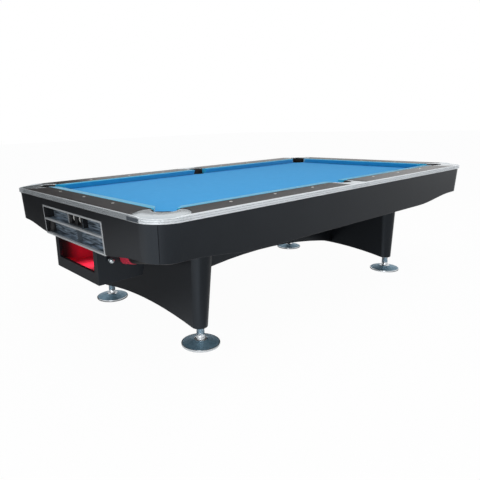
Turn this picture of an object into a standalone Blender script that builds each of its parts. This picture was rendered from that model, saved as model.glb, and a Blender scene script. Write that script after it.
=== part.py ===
"""Nine foot pocket billiard table with a score and ball bay in its foot end.

Metres, +Z up. The origin is on the floor under the middle of the table. +X runs along the table to the
head end, so the foot end with the score bay faces -X. The near side faces -Y and the far side +Y.
"""

import math

import bmesh
import bpy
from mathutils import Vector

# Playing field and heights
FIELD_LENGTH = 2.540
FIELD_WIDTH = 1.270
RAIL_TOP = 0.828
BED_DROP = 0.038
FIT = 0.0003

# Rails, cushions and trim
RAIL_WIDTH = 0.205
CORNER_RADIUS = 0.142
CUSHION_DEPTH = 0.050
CUSHION_UNDERCUT = 0.022
CUSHION_TOP_DROP = 0.0006
NOSE_HEIGHT = 0.0365
NOSE_ROUND = 0.0016
TRIM_THICKNESS = 0.006
TRIM_HEIGHT = 0.029
TRIM_ROUND = 0.002
TRIM_GROOVE = 0.0012
TRIM_GROOVE_DROPS = (0.009, 0.020)

# Pockets and their castings
CORNER_MOUTH = 0.124
CORNER_FACING_DEG = 38.0
CORNER_POCKET_SET = 0.027
CORNER_POCKET_RADIUS = 0.056
SIDE_MOUTH = 0.130
SIDE_FACING_DEG = 76.0
SIDE_POCKET_SET = 0.065
SIDE_POCKET_RADIUS = 0.0546
CASTING_BEVEL = 0.003
TONGUE_REACH = 0.195
TONGUE_SWELL = 0.067
TONGUE_SHOULDER = 0.030
TONGUE_TIP = 0.029
TONGUE_TIP_DEG = 60.0
SIDE_CASTING_WIDTH = 0.180
LINER_LAP = 0.0102
LINER_WALL = 0.004
LINER_SLEEVE = 0.060
SPOUT_RADIUS = 0.044
SPOUT_GAP = 0.004
LINER_CUT_SET = 0.010
LINER_GAP = 0.0008

# Bed
CLOTH_THICKNESS = 0.001
SLATE_THICKNESS = 0.030
SLATE_OVERHANG = 0.088
SLATE_COUNT = 3

# Frame under the slates
FRAME_HEIGHT = 0.120
FRAME_BEAM = 0.060
FRAME_JOINT_BEAM = 0.100
FRAME_LINER_GAP = 0.010

# Aprons
APRON_THICKNESS = 0.018
APRON_SET = 0.009
APRON_LEAN = 0.0556
APRON_MID_DROP = 0.245
APRON_CORNER_DROP = 0.206
LONG_RISE_END = 0.175
LONG_RISE_START = 0.675
SHORT_RISE_END = 0.150
SHORT_RISE_START = 0.530

# Pedestals, stretcher and levelling feet
PEDESTAL_SETBACK = 0.449
PEDESTAL_END_SETBACK = 0.276
PEDESTAL_TOP_THICKNESS = 0.141
PEDESTAL_LEG_THICKNESS = 0.096
PEDESTAL_END_TAPER = 0.026
LEG_BOTTOM = 0.104
LEG_ARCH_RISE = 0.043
STRETCHER_THICKNESS = 0.040
STRETCHER_ARCH_TOP = 0.259
STRETCHER_ARCH_END = 0.158
FOOT_INSET = 0.040
STEM_RADIUS = 0.0225
STEM_GAP = 0.0004
STEM_ENGAGEMENT = 0.075
BORE_SPARE = 0.036
PAD_RADIUS = 0.110
PAD_RIM = 0.013
PAD_CHAMFER = 0.004
PAD_CROWN = 0.021
PAD_CROWN_RADIUS = 0.036

# Score bay in the foot apron
BEZEL_WIDTH = 0.732
BEZEL_TOP_DROP = 0.073
BEZEL_BOTTOM_DROP = 0.247
BEZEL_BAR = 0.009
BEZEL_THICKNESS = 0.020
BEZEL_PROUD = 0.002
BEZEL_DIVIDER_DROP = 0.155
TRAY_MARGIN = 0.004
TRAY_EDGE = 0.002
TRAY_DEPTH = 0.110
TRAY_WALL = 0.003
BAY_DEPTH = 0.040
COUNTER_BAY = 0.184
PARTITION_RECESS = 0.012
FIN_RECESS = 0.012

# Score counter
DRUM_RADIUS = 0.028
DRUM_WIDTH = 0.030
DRUM_CHAMFER = 0.001
DRUM_SPACING = 0.074
DRUM_RECESS = 0.045
DRUM_GAP = 0.003
AXLE_RADIUS = 0.005
HOUSING_RECESS = 0.006
HOUSING_DEPTH = 0.078
HOUSING_BACK = 0.012

# Ball box and ball return gutters
BOX_WIDTH = 0.516
BOX_SETBACK = 0.026
BOX_HEIGHT = 0.1837
BOX_DEPTH = 0.284
BOX_HANGER = 0.135
BOX_HEEL = 0.017
BOX_HEEL_RISE = 0.065
BOX_WALL = 0.018
BOX_BACK_WALL = 0.035
BOX_STILE = 0.040
BOX_SILL = 0.062
LINING = 0.003
INLET_SETBACK = 0.205
INLET_RISE = 0.128
GUTTER_HALF = 0.048
GUTTER_DEPTH = 0.048
GUTTER_WALL = 0.003
GUTTER_SIDE = 0.030
GUTTER_BEND = 0.060
GUTTER_HEAD_DROP = 0.160
GUTTER_FALL = 0.068
GUTTER_BEND_FALL = 0.010
GUTTER_START = 0.050
GUTTER_JOINT = 0.060

# Facets
ARC_STEPS = 24
ROUND_STEPS = 24
SMALL_STEPS = 12
LINER_STEPS = 12
END_STEPS = 10
RISE_STEPS = 8
BEND_STEPS = 2
CORNER_STEPS = 6
ARCH_STEPS = 12

# Levels and positions that follow from the sizes above
HALF_LENGTH = FIELD_LENGTH / 2 + RAIL_WIDTH
HALF_WIDTH = FIELD_WIDTH / 2 + RAIL_WIDTH
BED_TOP = RAIL_TOP - BED_DROP
RAIL_BOTTOM = BED_TOP + FIT
TRIM_BOTTOM = RAIL_TOP - TRIM_HEIGHT
APRON_TOP = TRIM_BOTTOM - FIT
SLATE_TOP = BED_TOP - CLOTH_THICKNESS - FIT
SLATE_BOTTOM = SLATE_TOP - SLATE_THICKNESS
FRAME_TOP = SLATE_BOTTOM - FIT
FRAME_BOTTOM = FRAME_TOP - FRAME_HEIGHT
BASE_TOP = FRAME_BOTTOM - FIT
CUSHION_BACK = RAIL_WIDTH - CUSHION_DEPTH
RAIL_INNER = CUSHION_BACK - FIT
RAIL_OUTER = TRIM_THICKNESS + FIT
CORNER_POCKET = RAIL_WIDTH - CORNER_POCKET_SET
SIDE_POCKET = RAIL_WIDTH - SIDE_POCKET_SET
CORNER_LINER_RADIUS = CORNER_POCKET_RADIUS + LINER_LAP
SIDE_LINER_RADIUS = SIDE_POCKET_RADIUS + LINER_LAP
SLATE_HALF_LENGTH = FIELD_LENGTH / 2 + SLATE_OVERHANG
SLATE_HALF_WIDTH = FIELD_WIDTH / 2 + SLATE_OVERHANG
FRAME_HALF_LENGTH = HALF_LENGTH - CORNER_POCKET - CORNER_LINER_RADIUS - FRAME_LINER_GAP
FRAME_HALF_WIDTH = HALF_WIDTH - CORNER_POCKET - CORNER_LINER_RADIUS - FRAME_LINER_GAP
APRON_MID = RAIL_TOP - APRON_MID_DROP
APRON_CORNER = RAIL_TOP - APRON_CORNER_DROP
PEDESTAL_OUTER = HALF_LENGTH - PEDESTAL_SETBACK
PEDESTAL_END = HALF_WIDTH - PEDESTAL_END_SETBACK
FOOT_X = PEDESTAL_OUTER - PEDESTAL_LEG_THICKNESS / 2
FOOT_Y = PEDESTAL_END - PEDESTAL_END_TAPER - FOOT_INSET
BEZEL_TOP = RAIL_TOP - BEZEL_TOP_DROP
BEZEL_BOTTOM = RAIL_TOP - BEZEL_BOTTOM_DROP
BEZEL_DIVIDER = RAIL_TOP - BEZEL_DIVIDER_DROP
BOX_FRONT = -HALF_LENGTH + BOX_SETBACK
BOX_TOP = BEZEL_BOTTOM - FIT
BOX_BOTTOM = BOX_TOP - BOX_HEIGHT
INLET_X = -HALF_LENGTH + INLET_SETBACK
INLET_Z = BOX_BOTTOM + INLET_RISE
GUTTER_Y = FRAME_HALF_WIDTH + FIT + GUTTER_HALF
GUTTER_HEAD_X = HALF_LENGTH - CORNER_POCKET + GUTTER_START
GUTTER_HEAD_Z = RAIL_TOP - GUTTER_HEAD_DROP
GUTTER_BEND_X = INLET_X + GUTTER_BEND
GUTTER_BEND_Z = GUTTER_HEAD_Z - GUTTER_FALL

CORNERS = {"near_foot": (-1, -1), "near_head": (1, -1), "far_foot": (-1, 1), "far_head": (1, 1)}
SIDES = {"near": -1, "far": 1}
ENDS = {"foot": -1, "head": 1}


# Scene, materials and small helpers
for old in list(bpy.data.objects):
    bpy.data.objects.remove(old)

PARTS = bpy.data.collections.new("billiard_table")
CUTTERS = bpy.data.collections.new("billiard_table_cutters")
bpy.context.scene.collection.children.link(PARTS)
bpy.context.scene.collection.children.link(CUTTERS)
TABLE = bpy.data.objects.new("table_origin", None)
PARTS.objects.link(TABLE)


def finish(name, colour, roughness, metallic=0.0):
    """A plain Principled material."""
    material = bpy.data.materials.new(name)
    material.use_nodes = True
    shader = material.node_tree.nodes["Principled BSDF"]
    shader.inputs["Base Color"].default_value = (*colour, 1.0)
    shader.inputs["Roughness"].default_value = roughness
    shader.inputs["Metallic"].default_value = metallic
    return material


BLACK_LAMINATE = finish("black_laminate", (0.020, 0.021, 0.024), 0.42)
RAIL_WOOD = finish("dark_rail_wood", (0.034, 0.028, 0.025), 0.35)
BLUE_CLOTH = finish("blue_cloth", (0.075, 0.34, 0.69), 0.92)
SLATE_STONE = finish("slate_stone", (0.09, 0.10, 0.11), 0.75)
FRAME_WOOD = finish("frame_wood", (0.35, 0.23, 0.13), 0.7)
POLISHED_CASTING = finish("polished_casting", (0.78, 0.79, 0.80), 0.18, 1.0)
SATIN_ALUMINIUM = finish("satin_aluminium", (0.62, 0.64, 0.66), 0.35, 1.0)
CHROMED_STEEL = finish("chromed_steel", (0.55, 0.58, 0.62), 0.2, 1.0)
LINER_RUBBER = finish("liner_rubber", (0.015, 0.015, 0.016), 0.7)
BLACK_PLASTIC = finish("black_plastic", (0.02, 0.02, 0.022), 0.4)
WHITE_PLASTIC = finish("white_plastic", (0.8, 0.8, 0.78), 0.4)
RED_LINING = finish("red_lining", (0.78, 0.015, 0.035), 0.6)


def new_object(name, mesh, material, smooth_deg=35.0):
    """A named piece of the table, shaded smooth up to the given angle."""
    mesh.name = name
    mesh.materials.clear()
    mesh.materials.append(material)
    mesh.shade_smooth()
    mesh.set_sharp_from_angle(angle=math.radians(smooth_deg))
    piece = bpy.data.objects.new(name, mesh)
    piece.parent = TABLE
    PARTS.objects.link(piece)
    return piece


def cut(piece, name, mesh, location=(0, 0, 0), rotation=(0, 0, 0)):
    """Cut a mesh out of a piece with a Boolean."""
    cutter = bpy.data.objects.new(f"cut_{piece.name}_{name}", mesh)
    cutter.location = location
    cutter.rotation_euler = rotation
    cutter.hide_render = True
    cutter.display_type = "WIRE"
    CUTTERS.objects.link(cutter)
    boolean = piece.modifiers.new(name, "BOOLEAN")
    boolean.operation = "DIFFERENCE"
    boolean.object = cutter


def mesh_of(bm):
    """A closed mesh from a bmesh, with its faces pointing out."""
    bmesh.ops.recalc_face_normals(bm, faces=bm.faces)
    if bm.calc_volume(signed=True) < 0:
        bmesh.ops.reverse_faces(bm, faces=bm.faces)
    mesh = bpy.data.meshes.new("piece")
    bm.to_mesh(mesh)
    bm.free()
    return mesh


def box(low, high):
    """A box between two corners."""
    bm = bmesh.new()
    bmesh.ops.create_cube(bm, size=1.0)
    for vert in bm.verts:
        vert.co = [l + (c + 0.5) * (h - l) for l, h, c in zip(low, high, vert.co)]
    return mesh_of(bm)


def rod(radius, length, steps):
    """A cylinder along Z, centred on the origin."""
    bm = bmesh.new()
    bmesh.ops.create_cone(bm, cap_ends=True, segments=steps, radius1=radius, radius2=radius, depth=length)
    return mesh_of(bm)


def flat_solid(loops, low, high, place):
    """Flat outline loops, the first with holes if more follow, given thickness from low to high.

    place turns a point of the outline and its height into a point of the table.
    """
    curve = bpy.data.curves.new("outline", "CURVE")
    curve.dimensions = "2D"
    curve.fill_mode = "BOTH"
    curve.extrude = (high - low) / 2
    for loop in loops:
        spline = curve.splines.new("POLY")
        spline.points.add(len(loop) - 1)
        for point, (a, b) in zip(spline.points, loop):
            point.co = (a, b, 0, 1)
        spline.use_cyclic_u = True
    outline = bpy.data.objects.new("outline", curve)
    CUTTERS.objects.link(outline)
    graph = bpy.context.evaluated_depsgraph_get()
    flat = bpy.data.meshes.new_from_object(outline.evaluated_get(graph))
    bpy.data.objects.remove(outline)
    bm = bmesh.new()
    bm.from_mesh(flat)
    bmesh.ops.remove_doubles(bm, verts=bm.verts, dist=0.00001)
    middle = (low + high) / 2
    for vert in bm.verts:
        vert.co = place(vert.co.x, vert.co.y, vert.co.z + middle)
    return mesh_of(bm)


def turned(name, profile, material, steps, location, rotation=(0, 0, 0), closed=False):
    """A profile of (radius, height) points turned round Z, listed down its outer side."""
    mesh = bpy.data.meshes.new(name)
    last = len(profile) - 1
    edges = [(i, i + 1) for i in range(last)] + ([(last, 0)] if closed else [])
    mesh.from_pydata([(radius, 0, height) for radius, height in profile], edges, [])
    piece = new_object(name, mesh, material)
    piece.location = location
    piece.rotation_euler = rotation
    screw = piece.modifiers.new("turn", "SCREW")
    screw.steps = steps
    screw.render_steps = steps
    screw.use_merge_vertices = True
    screw.merge_threshold = 0.00005
    screw.use_smooth_shade = True
    return piece


def skinned(rings, pairs):
    """A solid skinned over rings of points, its ends closed by strips between paired points of a ring.

    With no pairs the last ring joins the first, as on a sleeve whose rings lead from its outside
    to its inside.
    """
    bm = bmesh.new()
    made = [[bm.verts.new(point) for point in ring] for ring in rings]
    count = len(rings[0])
    following = made[1:] if pairs else made[1:] + made[:1]
    for low, high in zip(made, following):
        for i in range(count):
            j = (i + 1) % count
            bm.faces.new((low[i], low[j], high[j], high[i]))
    for ring in (made[0], made[-1]):
        for (a, b), (c, d) in zip(pairs, pairs[1:]):
            corners = [ring[i] for i in dict.fromkeys((a, c, d, b))]
            bm.faces.new(corners)
    return mesh_of(bm)


def arc(centre, radius, start_deg, end_deg, steps):
    """Points along an arc, both ends included."""
    turns = [math.radians(start_deg + (end_deg - start_deg) * i / steps) for i in range(steps + 1)]
    return [(centre[0] + radius * math.cos(turn), centre[1] + radius * math.sin(turn)) for turn in turns]


def circle(centre, radius, z):
    """A ring of points round a centre at one height."""
    return [Vector((x, y, z)) for x, y in arc(centre, radius, 0, 360, LINER_STEPS)[:-1]]


def mirrored(points, sx, sy):
    return [(sx * x, sy * y) for x, y in points]


def upright(x, y, z):
    """An outline that is a plan view."""
    return Vector((x, y, z))


# Base: pedestals, stretcher and levelling feet
def leg_taper(z):
    """Share of the pedestal's taper at a height, 0 under the frame and 1 at the leg's bottom."""
    return (BASE_TOP - z) / (BASE_TOP - LEG_BOTTOM)


def pedestal_inner(z):
    """Distance of a pedestal's inner face from the middle of the table."""
    thinner = (PEDESTAL_TOP_THICKNESS - PEDESTAL_LEG_THICKNESS) * leg_taper(z)
    return PEDESTAL_OUTER - PEDESTAL_TOP_THICKNESS + thinner


def pedestal_section(height_at):
    """A round-ended section of a pedestal, each point at the height that its place across the table gives."""
    points = []
    for face in ("outer", "inner"):
        for i in range(ARCH_STEPS):
            across = 2 * i / ARCH_STEPS - 1
            points.append((face, across if face == "outer" else -across, 0.0))
        for i in range(END_STEPS):
            turn = math.pi * i / END_STEPS
            points.append((face, 1 if face == "outer" else -1, turn))
    ring = []
    for face, across, turn in points:
        z = height_at(across)
        half = (PEDESTAL_OUTER - pedestal_inner(z)) / 2
        straight = PEDESTAL_END - PEDESTAL_END_TAPER * leg_taper(z) - half
        side = math.cos(turn) if face == "outer" else -math.cos(turn)
        x = PEDESTAL_OUTER - half + half * side
        y = across * straight + math.copysign(half * math.sin(turn), across)
        ring.append(Vector((x, y, z)))
    return ring


def leg_arch(across):
    return LEG_BOTTOM + LEG_ARCH_RISE * (1 - across * across)


def pedestal_pairs():
    """Index pairs of section points that face each other across the pedestal."""
    half = ARCH_STEPS + END_STEPS
    count = 2 * half
    start = -(END_STEPS // 2)
    steps = range(ARCH_STEPS + END_STEPS + 1)
    return [((start + i) % count, (start - i) % count) for i in steps]


def make_pedestals():
    for end, sx in ENDS.items():
        rings = [pedestal_section(lambda across: BASE_TOP), pedestal_section(leg_arch)]
        placed = [[Vector((sx * p.x, p.y, p.z)) for p in ring] for ring in rings]
        piece = new_object(f"{end}_pedestal", skinned(placed, pedestal_pairs()), BLACK_LAMINATE)
        top = LEG_BOTTOM + STEM_ENGAGEMENT + BORE_SPARE
        for side, sy in SIDES.items():
            bore = rod(STEM_RADIUS + STEM_GAP, 2 * (top - LEG_BOTTOM), ROUND_STEPS)
            cut(piece, f"{side}_bore", bore, (sx * FOOT_X, sy * FOOT_Y, LEG_BOTTOM))


def make_stretcher():
    def arch(x):
        return STRETCHER_ARCH_TOP - (STRETCHER_ARCH_TOP - STRETCHER_ARCH_END) * (x / end) ** 2

    end = pedestal_inner(STRETCHER_ARCH_END) - FIT
    top = pedestal_inner(BASE_TOP) - FIT
    lower = [end * (2 * i / ARCH_STEPS - 1) for i in range(ARCH_STEPS + 1)]
    outline = [(-top, BASE_TOP)] + [(x, arch(x)) for x in lower] + [(top, BASE_TOP)]
    half = STRETCHER_THICKNESS / 2
    solid = flat_solid([outline], -half, half, lambda x, z, y: Vector((x, y, z)))
    new_object("stretcher", solid, BLACK_LAMINATE)


def make_levelling_feet():
    stem_top = LEG_BOTTOM + STEM_ENGAGEMENT
    crown = PAD_RIM + PAD_CROWN
    profile = [
        (0, stem_top),
        (STEM_RADIUS - PAD_CHAMFER, stem_top),
        (STEM_RADIUS, stem_top - PAD_CHAMFER),
        (STEM_RADIUS, crown + PAD_CHAMFER),
        (PAD_CROWN_RADIUS - PAD_CHAMFER, crown + PAD_CHAMFER),
        (PAD_CROWN_RADIUS, crown),
        ((PAD_CROWN_RADIUS + PAD_RADIUS) / 2, PAD_RIM + PAD_CROWN * 0.62),
        (PAD_RADIUS - PAD_CHAMFER, PAD_RIM),
        (PAD_RADIUS, PAD_RIM - PAD_CHAMFER / 2),
        (PAD_RADIUS, PAD_CHAMFER),
        (PAD_RADIUS - PAD_CHAMFER, 0),
        (0, 0),
    ]
    for corner, (sx, sy) in CORNERS.items():
        turned(f"{corner}_levelling_foot", profile, CHROMED_STEEL, ROUND_STEPS, (sx * FOOT_X, sy * FOOT_Y, 0))


# Bed: frame, slates and cloth
def make_frame():
    outer = [(-1, -1), (1, -1), (1, 1), (-1, 1)]
    across = FRAME_HALF_WIDTH - FRAME_BEAM
    joint = SLATE_HALF_LENGTH / SLATE_COUNT
    half_joint = FRAME_JOINT_BEAM / 2
    pedestal_in = PEDESTAL_OUTER - PEDESTAL_TOP_THICKNESS
    bays = [
        (-joint + half_joint, joint - half_joint),
        (joint + half_joint, pedestal_in),
        (PEDESTAL_OUTER, FRAME_HALF_LENGTH - FRAME_BEAM),
    ]
    bays += [(-high, -low) for low, high in bays[1:]]
    loops = [mirrored(outer, FRAME_HALF_LENGTH, FRAME_HALF_WIDTH)]
    loops += [[(low, -across), (high, -across), (high, across), (low, across)] for low, high in bays]
    new_object("slate_frame", flat_solid(loops, FRAME_BOTTOM, FRAME_TOP, upright), FRAME_WOOD)


def corner_bite(radius):
    """The pocket cut in the bed at the +X +Y corner, from the end edge to the long edge."""
    centre = (HALF_LENGTH - CORNER_POCKET, HALF_WIDTH - CORNER_POCKET)
    start = -math.degrees(math.acos((SLATE_HALF_LENGTH - centre[0]) / radius))
    stop = -180 - math.degrees(math.asin((SLATE_HALF_WIDTH - centre[1]) / radius))
    return arc(centre, radius, start, stop, ARC_STEPS)


def side_bite(radius):
    """The pocket cut in the bed's +Y edge, from +X to -X."""
    centre = (0, HALF_WIDTH - SIDE_POCKET)
    lift = math.degrees(math.asin((SLATE_HALF_WIDTH - centre[1]) / radius))
    return arc(centre, radius, lift, -180 - lift, ARC_STEPS)


def make_bed():
    corner = corner_bite(CORNER_LINER_RADIUS + LINER_GAP)
    side = side_bite(SIDE_LINER_RADIUS + LINER_GAP)
    far_edge = corner + side + mirrored(corner[::-1], -1, 1)
    whole = far_edge + mirrored(far_edge[::-1], 1, -1)
    solid = flat_solid([whole], BED_TOP - CLOTH_THICKNESS, BED_TOP, upright)
    new_object("bed_cloth", solid, BLUE_CLOTH)
    joint = SLATE_HALF_LENGTH / SLATE_COUNT
    inner = joint + FIT / 2
    end_slate = [(inner, -SLATE_HALF_WIDTH)] + mirrored(corner[::-1], 1, -1) + corner
    end_slate.append((inner, SLATE_HALF_WIDTH))
    edge = joint - FIT / 2
    middle = [(edge, SLATE_HALF_WIDTH)] + side + [(-edge, SLATE_HALF_WIDTH)]
    outlines = {
        "foot_slate": mirrored(end_slate, -1, 1),
        "middle_slate": middle + mirrored(middle[::-1], 1, -1),
        "head_slate": end_slate,
    }
    for name, outline in outlines.items():
        new_object(name, flat_solid([outline], SLATE_BOTTOM, SLATE_TOP, upright), SLATE_STONE)


# Rails, cushions, castings and trim. A place on a rail is (along, inward): the distance from the outer
# face of the crossing side, and from the rail's own outer face.
def tongue(gap):
    """The edge between a corner casting and a rail, from the back of the trim inwards, moved out by gap."""
    shoulder = RAIL_INNER - TONGUE_SHOULDER
    points = []
    for i in range(RISE_STEPS + 1):
        share = i / RISE_STEPS
        swell = TONGUE_SWELL * math.sin(math.pi / 2 * share)
        points.append((TONGUE_REACH + swell + gap, RAIL_OUTER + (shoulder - RAIL_OUTER) * share))
    centre = (TONGUE_REACH + TONGUE_SWELL - TONGUE_TIP, shoulder)
    for i in range(1, RISE_STEPS // 2 + 1):
        turn = math.radians(TONGUE_TIP_DEG * 2 * i / RISE_STEPS)
        along = centre[0] + (TONGUE_TIP + gap) * math.cos(turn)
        points.append((along, shoulder + (TONGUE_SHOULDER + gap) * math.sin(turn)))
    return points


def long_place(sx, sy):
    """Maps (along, inward) of a long side to the table, along counted from the end that sx names."""
    return lambda along, inward, z: Vector((sx * (HALF_LENGTH - along), sy * (HALF_WIDTH - inward), z))


def end_place(sx, sy):
    """Maps (along, inward) of an end to the table, along counted from the side that sy names."""
    return lambda along, inward, z: Vector((sx * (HALF_LENGTH - inward), sy * (HALF_WIDTH - along), z))


def make_rail(name, outline, place, span):
    """A rail from its plan outline, with a rebate below for the apron's upper edge."""
    rail = new_object(name, flat_solid([outline], RAIL_BOTTOM, RAIL_TOP, place), RAIL_WOOD)
    low = place(span[0], -TRIM_HEIGHT, RAIL_BOTTOM - TRIM_HEIGHT)
    high = place(span[1], apron_face(RAIL_BOTTOM) + APRON_THICKNESS + FIT, TRIM_BOTTOM)
    corners = list(zip(low, high))
    cut(rail, "rebate", box([min(pair) for pair in corners], [max(pair) for pair in corners]))


def make_rails():
    edge = tongue(FIT)
    middle = HALF_LENGTH - SIDE_CASTING_WIDTH / 2 - FIT
    for corner, (sx, sy) in CORNERS.items():
        outline = edge + [(edge[-1][0], RAIL_INNER), (middle, RAIL_INNER), (middle, RAIL_OUTER)]
        make_rail(f"{corner}_rail", outline, long_place(sx, sy), (0, HALF_LENGTH))
    for end, sx in ENDS.items():
        inner = [(edge[-1][0], RAIL_INNER)]
        one_half = edge + inner
        other = [(2 * HALF_WIDTH - along, inward) for along, inward in one_half[::-1]]
        make_rail(f"{end}_rail", one_half + other, end_place(sx, 1), (0, 2 * HALF_WIDTH))


def cushion_mesh(place, starts, slopes):
    """A cushion swept between two pocket facings.

    starts are the places of the nose's two ends along the rail, and slopes are how far each facing runs on
    towards its pocket for each metre behind the nose.
    """
    nose = BED_TOP + NOSE_HEIGHT
    profile = [
        (NOSE_ROUND, nose - 2 * NOSE_ROUND),
        (0, nose - NOSE_ROUND / 2),
        (NOSE_ROUND / 2, nose),
        (CUSHION_DEPTH, RAIL_TOP - CUSHION_TOP_DROP),
        (CUSHION_DEPTH, RAIL_BOTTOM),
        (CUSHION_UNDERCUT, RAIL_BOTTOM),
    ]
    bm = bmesh.new()
    section = bm.faces.new([bm.verts.new((0, behind, z)) for behind, z in profile])
    swept = bmesh.ops.extrude_face_region(bm, geom=[section])
    for item in swept["geom"]:
        if isinstance(item, bmesh.types.BMVert):
            item.co.x = 1
    for vert in bm.verts:
        end = round(vert.co.x)
        along = starts[end] + slopes[end] * vert.co.y
        vert.co = place(along, RAIL_WIDTH - vert.co.y, vert.co.z)
    return mesh_of(bm)


def make_cushions():
    corner_nose = RAIL_WIDTH + CORNER_MOUTH / math.sqrt(2)
    corner_slope = 1 / math.tan(math.radians(CORNER_FACING_DEG))
    side_nose = HALF_LENGTH - SIDE_MOUTH / 2
    side_slope = 1 / math.tan(math.radians(SIDE_FACING_DEG))
    for corner, (sx, sy) in CORNERS.items():
        mesh = cushion_mesh(long_place(sx, sy), (corner_nose, side_nose), (-corner_slope, side_slope))
        new_object(f"{corner}_cushion", mesh, BLUE_CLOTH)
    for end, sx in ENDS.items():
        noses = (corner_nose, 2 * HALF_WIDTH - corner_nose)
        mesh = cushion_mesh(end_place(sx, 1), noses, (-corner_slope, corner_slope))
        new_object(f"{end}_cushion", mesh, BLUE_CLOTH)


def rounded_top(mesh):
    """Bevels the upper rim of a casting."""
    bm = bmesh.new()
    bm.from_mesh(mesh)
    bmesh.ops.dissolve_limit(bm, angle_limit=math.radians(1), verts=bm.verts, edges=bm.edges)
    rim = []
    for edge in bm.edges:
        lean = sorted(abs(face.normal.z) for face in edge.link_faces)
        high = min(vert.co.z for vert in edge.verts) > RAIL_TOP - FIT
        if high and lean[0] < 0.1 and lean[1] > 0.9:
            rim.append(edge)
    bmesh.ops.bevel(bm, geom=rim, offset=CASTING_BEVEL, segments=2, profile=0.5, affect="EDGES")
    return mesh_of(bm)


def make_corner_castings():
    long_edge = [(TONGUE_REACH, 0)] + tongue(0)
    end_edge = [(inward, along) for along, inward in long_edge[::-1]]
    rim = arc((CORNER_RADIUS, CORNER_RADIUS), CORNER_RADIUS, 180, 270, SMALL_STEPS)
    lip = math.degrees(math.asin((RAIL_INNER - CORNER_POCKET) / CORNER_POCKET_RADIUS))
    hole = arc((CORNER_POCKET, CORNER_POCKET), CORNER_POCKET_RADIUS, lip, -270 - lip, ARC_STEPS)
    outline = rim + long_edge + hole + end_edge
    for corner, (sx, sy) in CORNERS.items():
        solid = flat_solid([outline], TRIM_BOTTOM, RAIL_TOP, long_place(sx, sy))
        new_object(f"{corner}_casting", rounded_top(solid), POLISHED_CASTING)


def make_side_castings():
    half = SIDE_CASTING_WIDTH / 2
    lip = math.degrees(math.asin((RAIL_INNER - SIDE_POCKET) / SIDE_POCKET_RADIUS))
    hole = arc((0, SIDE_POCKET), SIDE_POCKET_RADIUS, lip, -180 - lip, ARC_STEPS)
    outline = [(-half, 0), (half, 0), (half, RAIL_INNER)] + hole + [(-half, RAIL_INNER)]
    outline = [(HALF_LENGTH + along, inward) for along, inward in outline]
    for side, sy in SIDES.items():
        solid = flat_solid([outline], TRIM_BOTTOM, RAIL_TOP, long_place(1, sy))
        new_object(f"{side}_side_casting", rounded_top(solid), POLISHED_CASTING)


def make_liner(name, radius, pocket, spout, field_turn):
    """A pocket sleeve in the bed with a spout over the gutter, cut down on the side of the playing field.

    pocket is the sleeve's centre, and spout is the centre of the spout's lower rim.
    """
    top = TRIM_BOTTOM - FIT
    sleeve = top - LINER_SLEEVE
    x, y = pocket
    walls = [(pocket, top, radius), (pocket, sleeve, radius), (spout[:2], spout[2], SPOUT_RADIUS)]
    outside = [circle(centre, size, z) for centre, z, size in walls]
    inside = [circle(centre, size - LINER_WALL, z) for centre, z, size in walls[::-1]]
    liner = new_object(name, skinned(outside + inside, []), LINER_RUBBER)
    reach = 2 * radius
    low_edge = SLATE_TOP - FIT
    opening = box((LINER_CUT_SET, -reach, low_edge), (LINER_CUT_SET + reach, reach, RAIL_TOP))
    cut(liner, "field_side", opening, (x, y, 0), (0, 0, field_turn))


def gutter_height(x):
    """Height of a gutter's centre line along its straight run."""
    share = (GUTTER_HEAD_X - x) / (GUTTER_HEAD_X - GUTTER_BEND_X)
    return GUTTER_HEAD_Z - GUTTER_FALL * share


def make_liners():
    rim = GUTTER_SIDE + SPOUT_GAP
    bend_inset = GUTTER_BEND * (1 - math.sqrt(0.5))
    bend_rim = GUTTER_BEND_Z - GUTTER_BEND_FALL / 2 + rim
    for corner, (sx, sy) in CORNERS.items():
        x = sx * (HALF_LENGTH - CORNER_POCKET)
        y = sy * (HALF_WIDTH - CORNER_POCKET)
        spout = (x, sy * GUTTER_Y, gutter_height(x) + rim)
        if sx < 0:
            spout = (INLET_X + bend_inset, sy * (GUTTER_Y - bend_inset), bend_rim)
        make_liner(f"{corner}_liner", CORNER_LINER_RADIUS, (x, y), spout, math.atan2(-sy, -sx))
    for side, sy in SIDES.items():
        pocket = (0, sy * (HALF_WIDTH - SIDE_POCKET))
        spout = (0, sy * GUTTER_Y, gutter_height(0) + rim)
        make_liner(f"{side}_side_liner", SIDE_LINER_RADIUS, pocket, spout, math.atan2(-sy, 0))


def make_trims():
    face = [(TRIM_THICKNESS, RAIL_TOP), (TRIM_ROUND, RAIL_TOP), (0, RAIL_TOP - TRIM_ROUND)]
    for drop in TRIM_GROOVE_DROPS:
        z = RAIL_TOP - drop
        face += [(0, z + TRIM_GROOVE), (TRIM_GROOVE, z), (0, z - TRIM_GROOVE)]
    face += [(0, TRIM_BOTTOM + TRIM_ROUND), (TRIM_ROUND, TRIM_BOTTOM), (TRIM_THICKNESS, TRIM_BOTTOM)]
    start = TONGUE_REACH + FIT

    def strip(place, stop):
        return flat_solid([face], start, stop, lambda inward, z, along: place(along, inward, z))

    for corner, (sx, sy) in CORNERS.items():
        stop = HALF_LENGTH - SIDE_CASTING_WIDTH / 2 - FIT
        new_object(f"{corner}_trim", strip(long_place(sx, sy), stop), SATIN_ALUMINIUM)
    for end, sx in ENDS.items():
        new_object(f"{end}_trim", strip(end_place(sx, 1), 2 * HALF_WIDTH - start), SATIN_ALUMINIUM)


# Aprons
def apron_face(z):
    """Distance of the aprons' leaning outer face behind the trim's outer face."""
    return APRON_SET + APRON_LEAN * (APRON_TOP - z)


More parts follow.
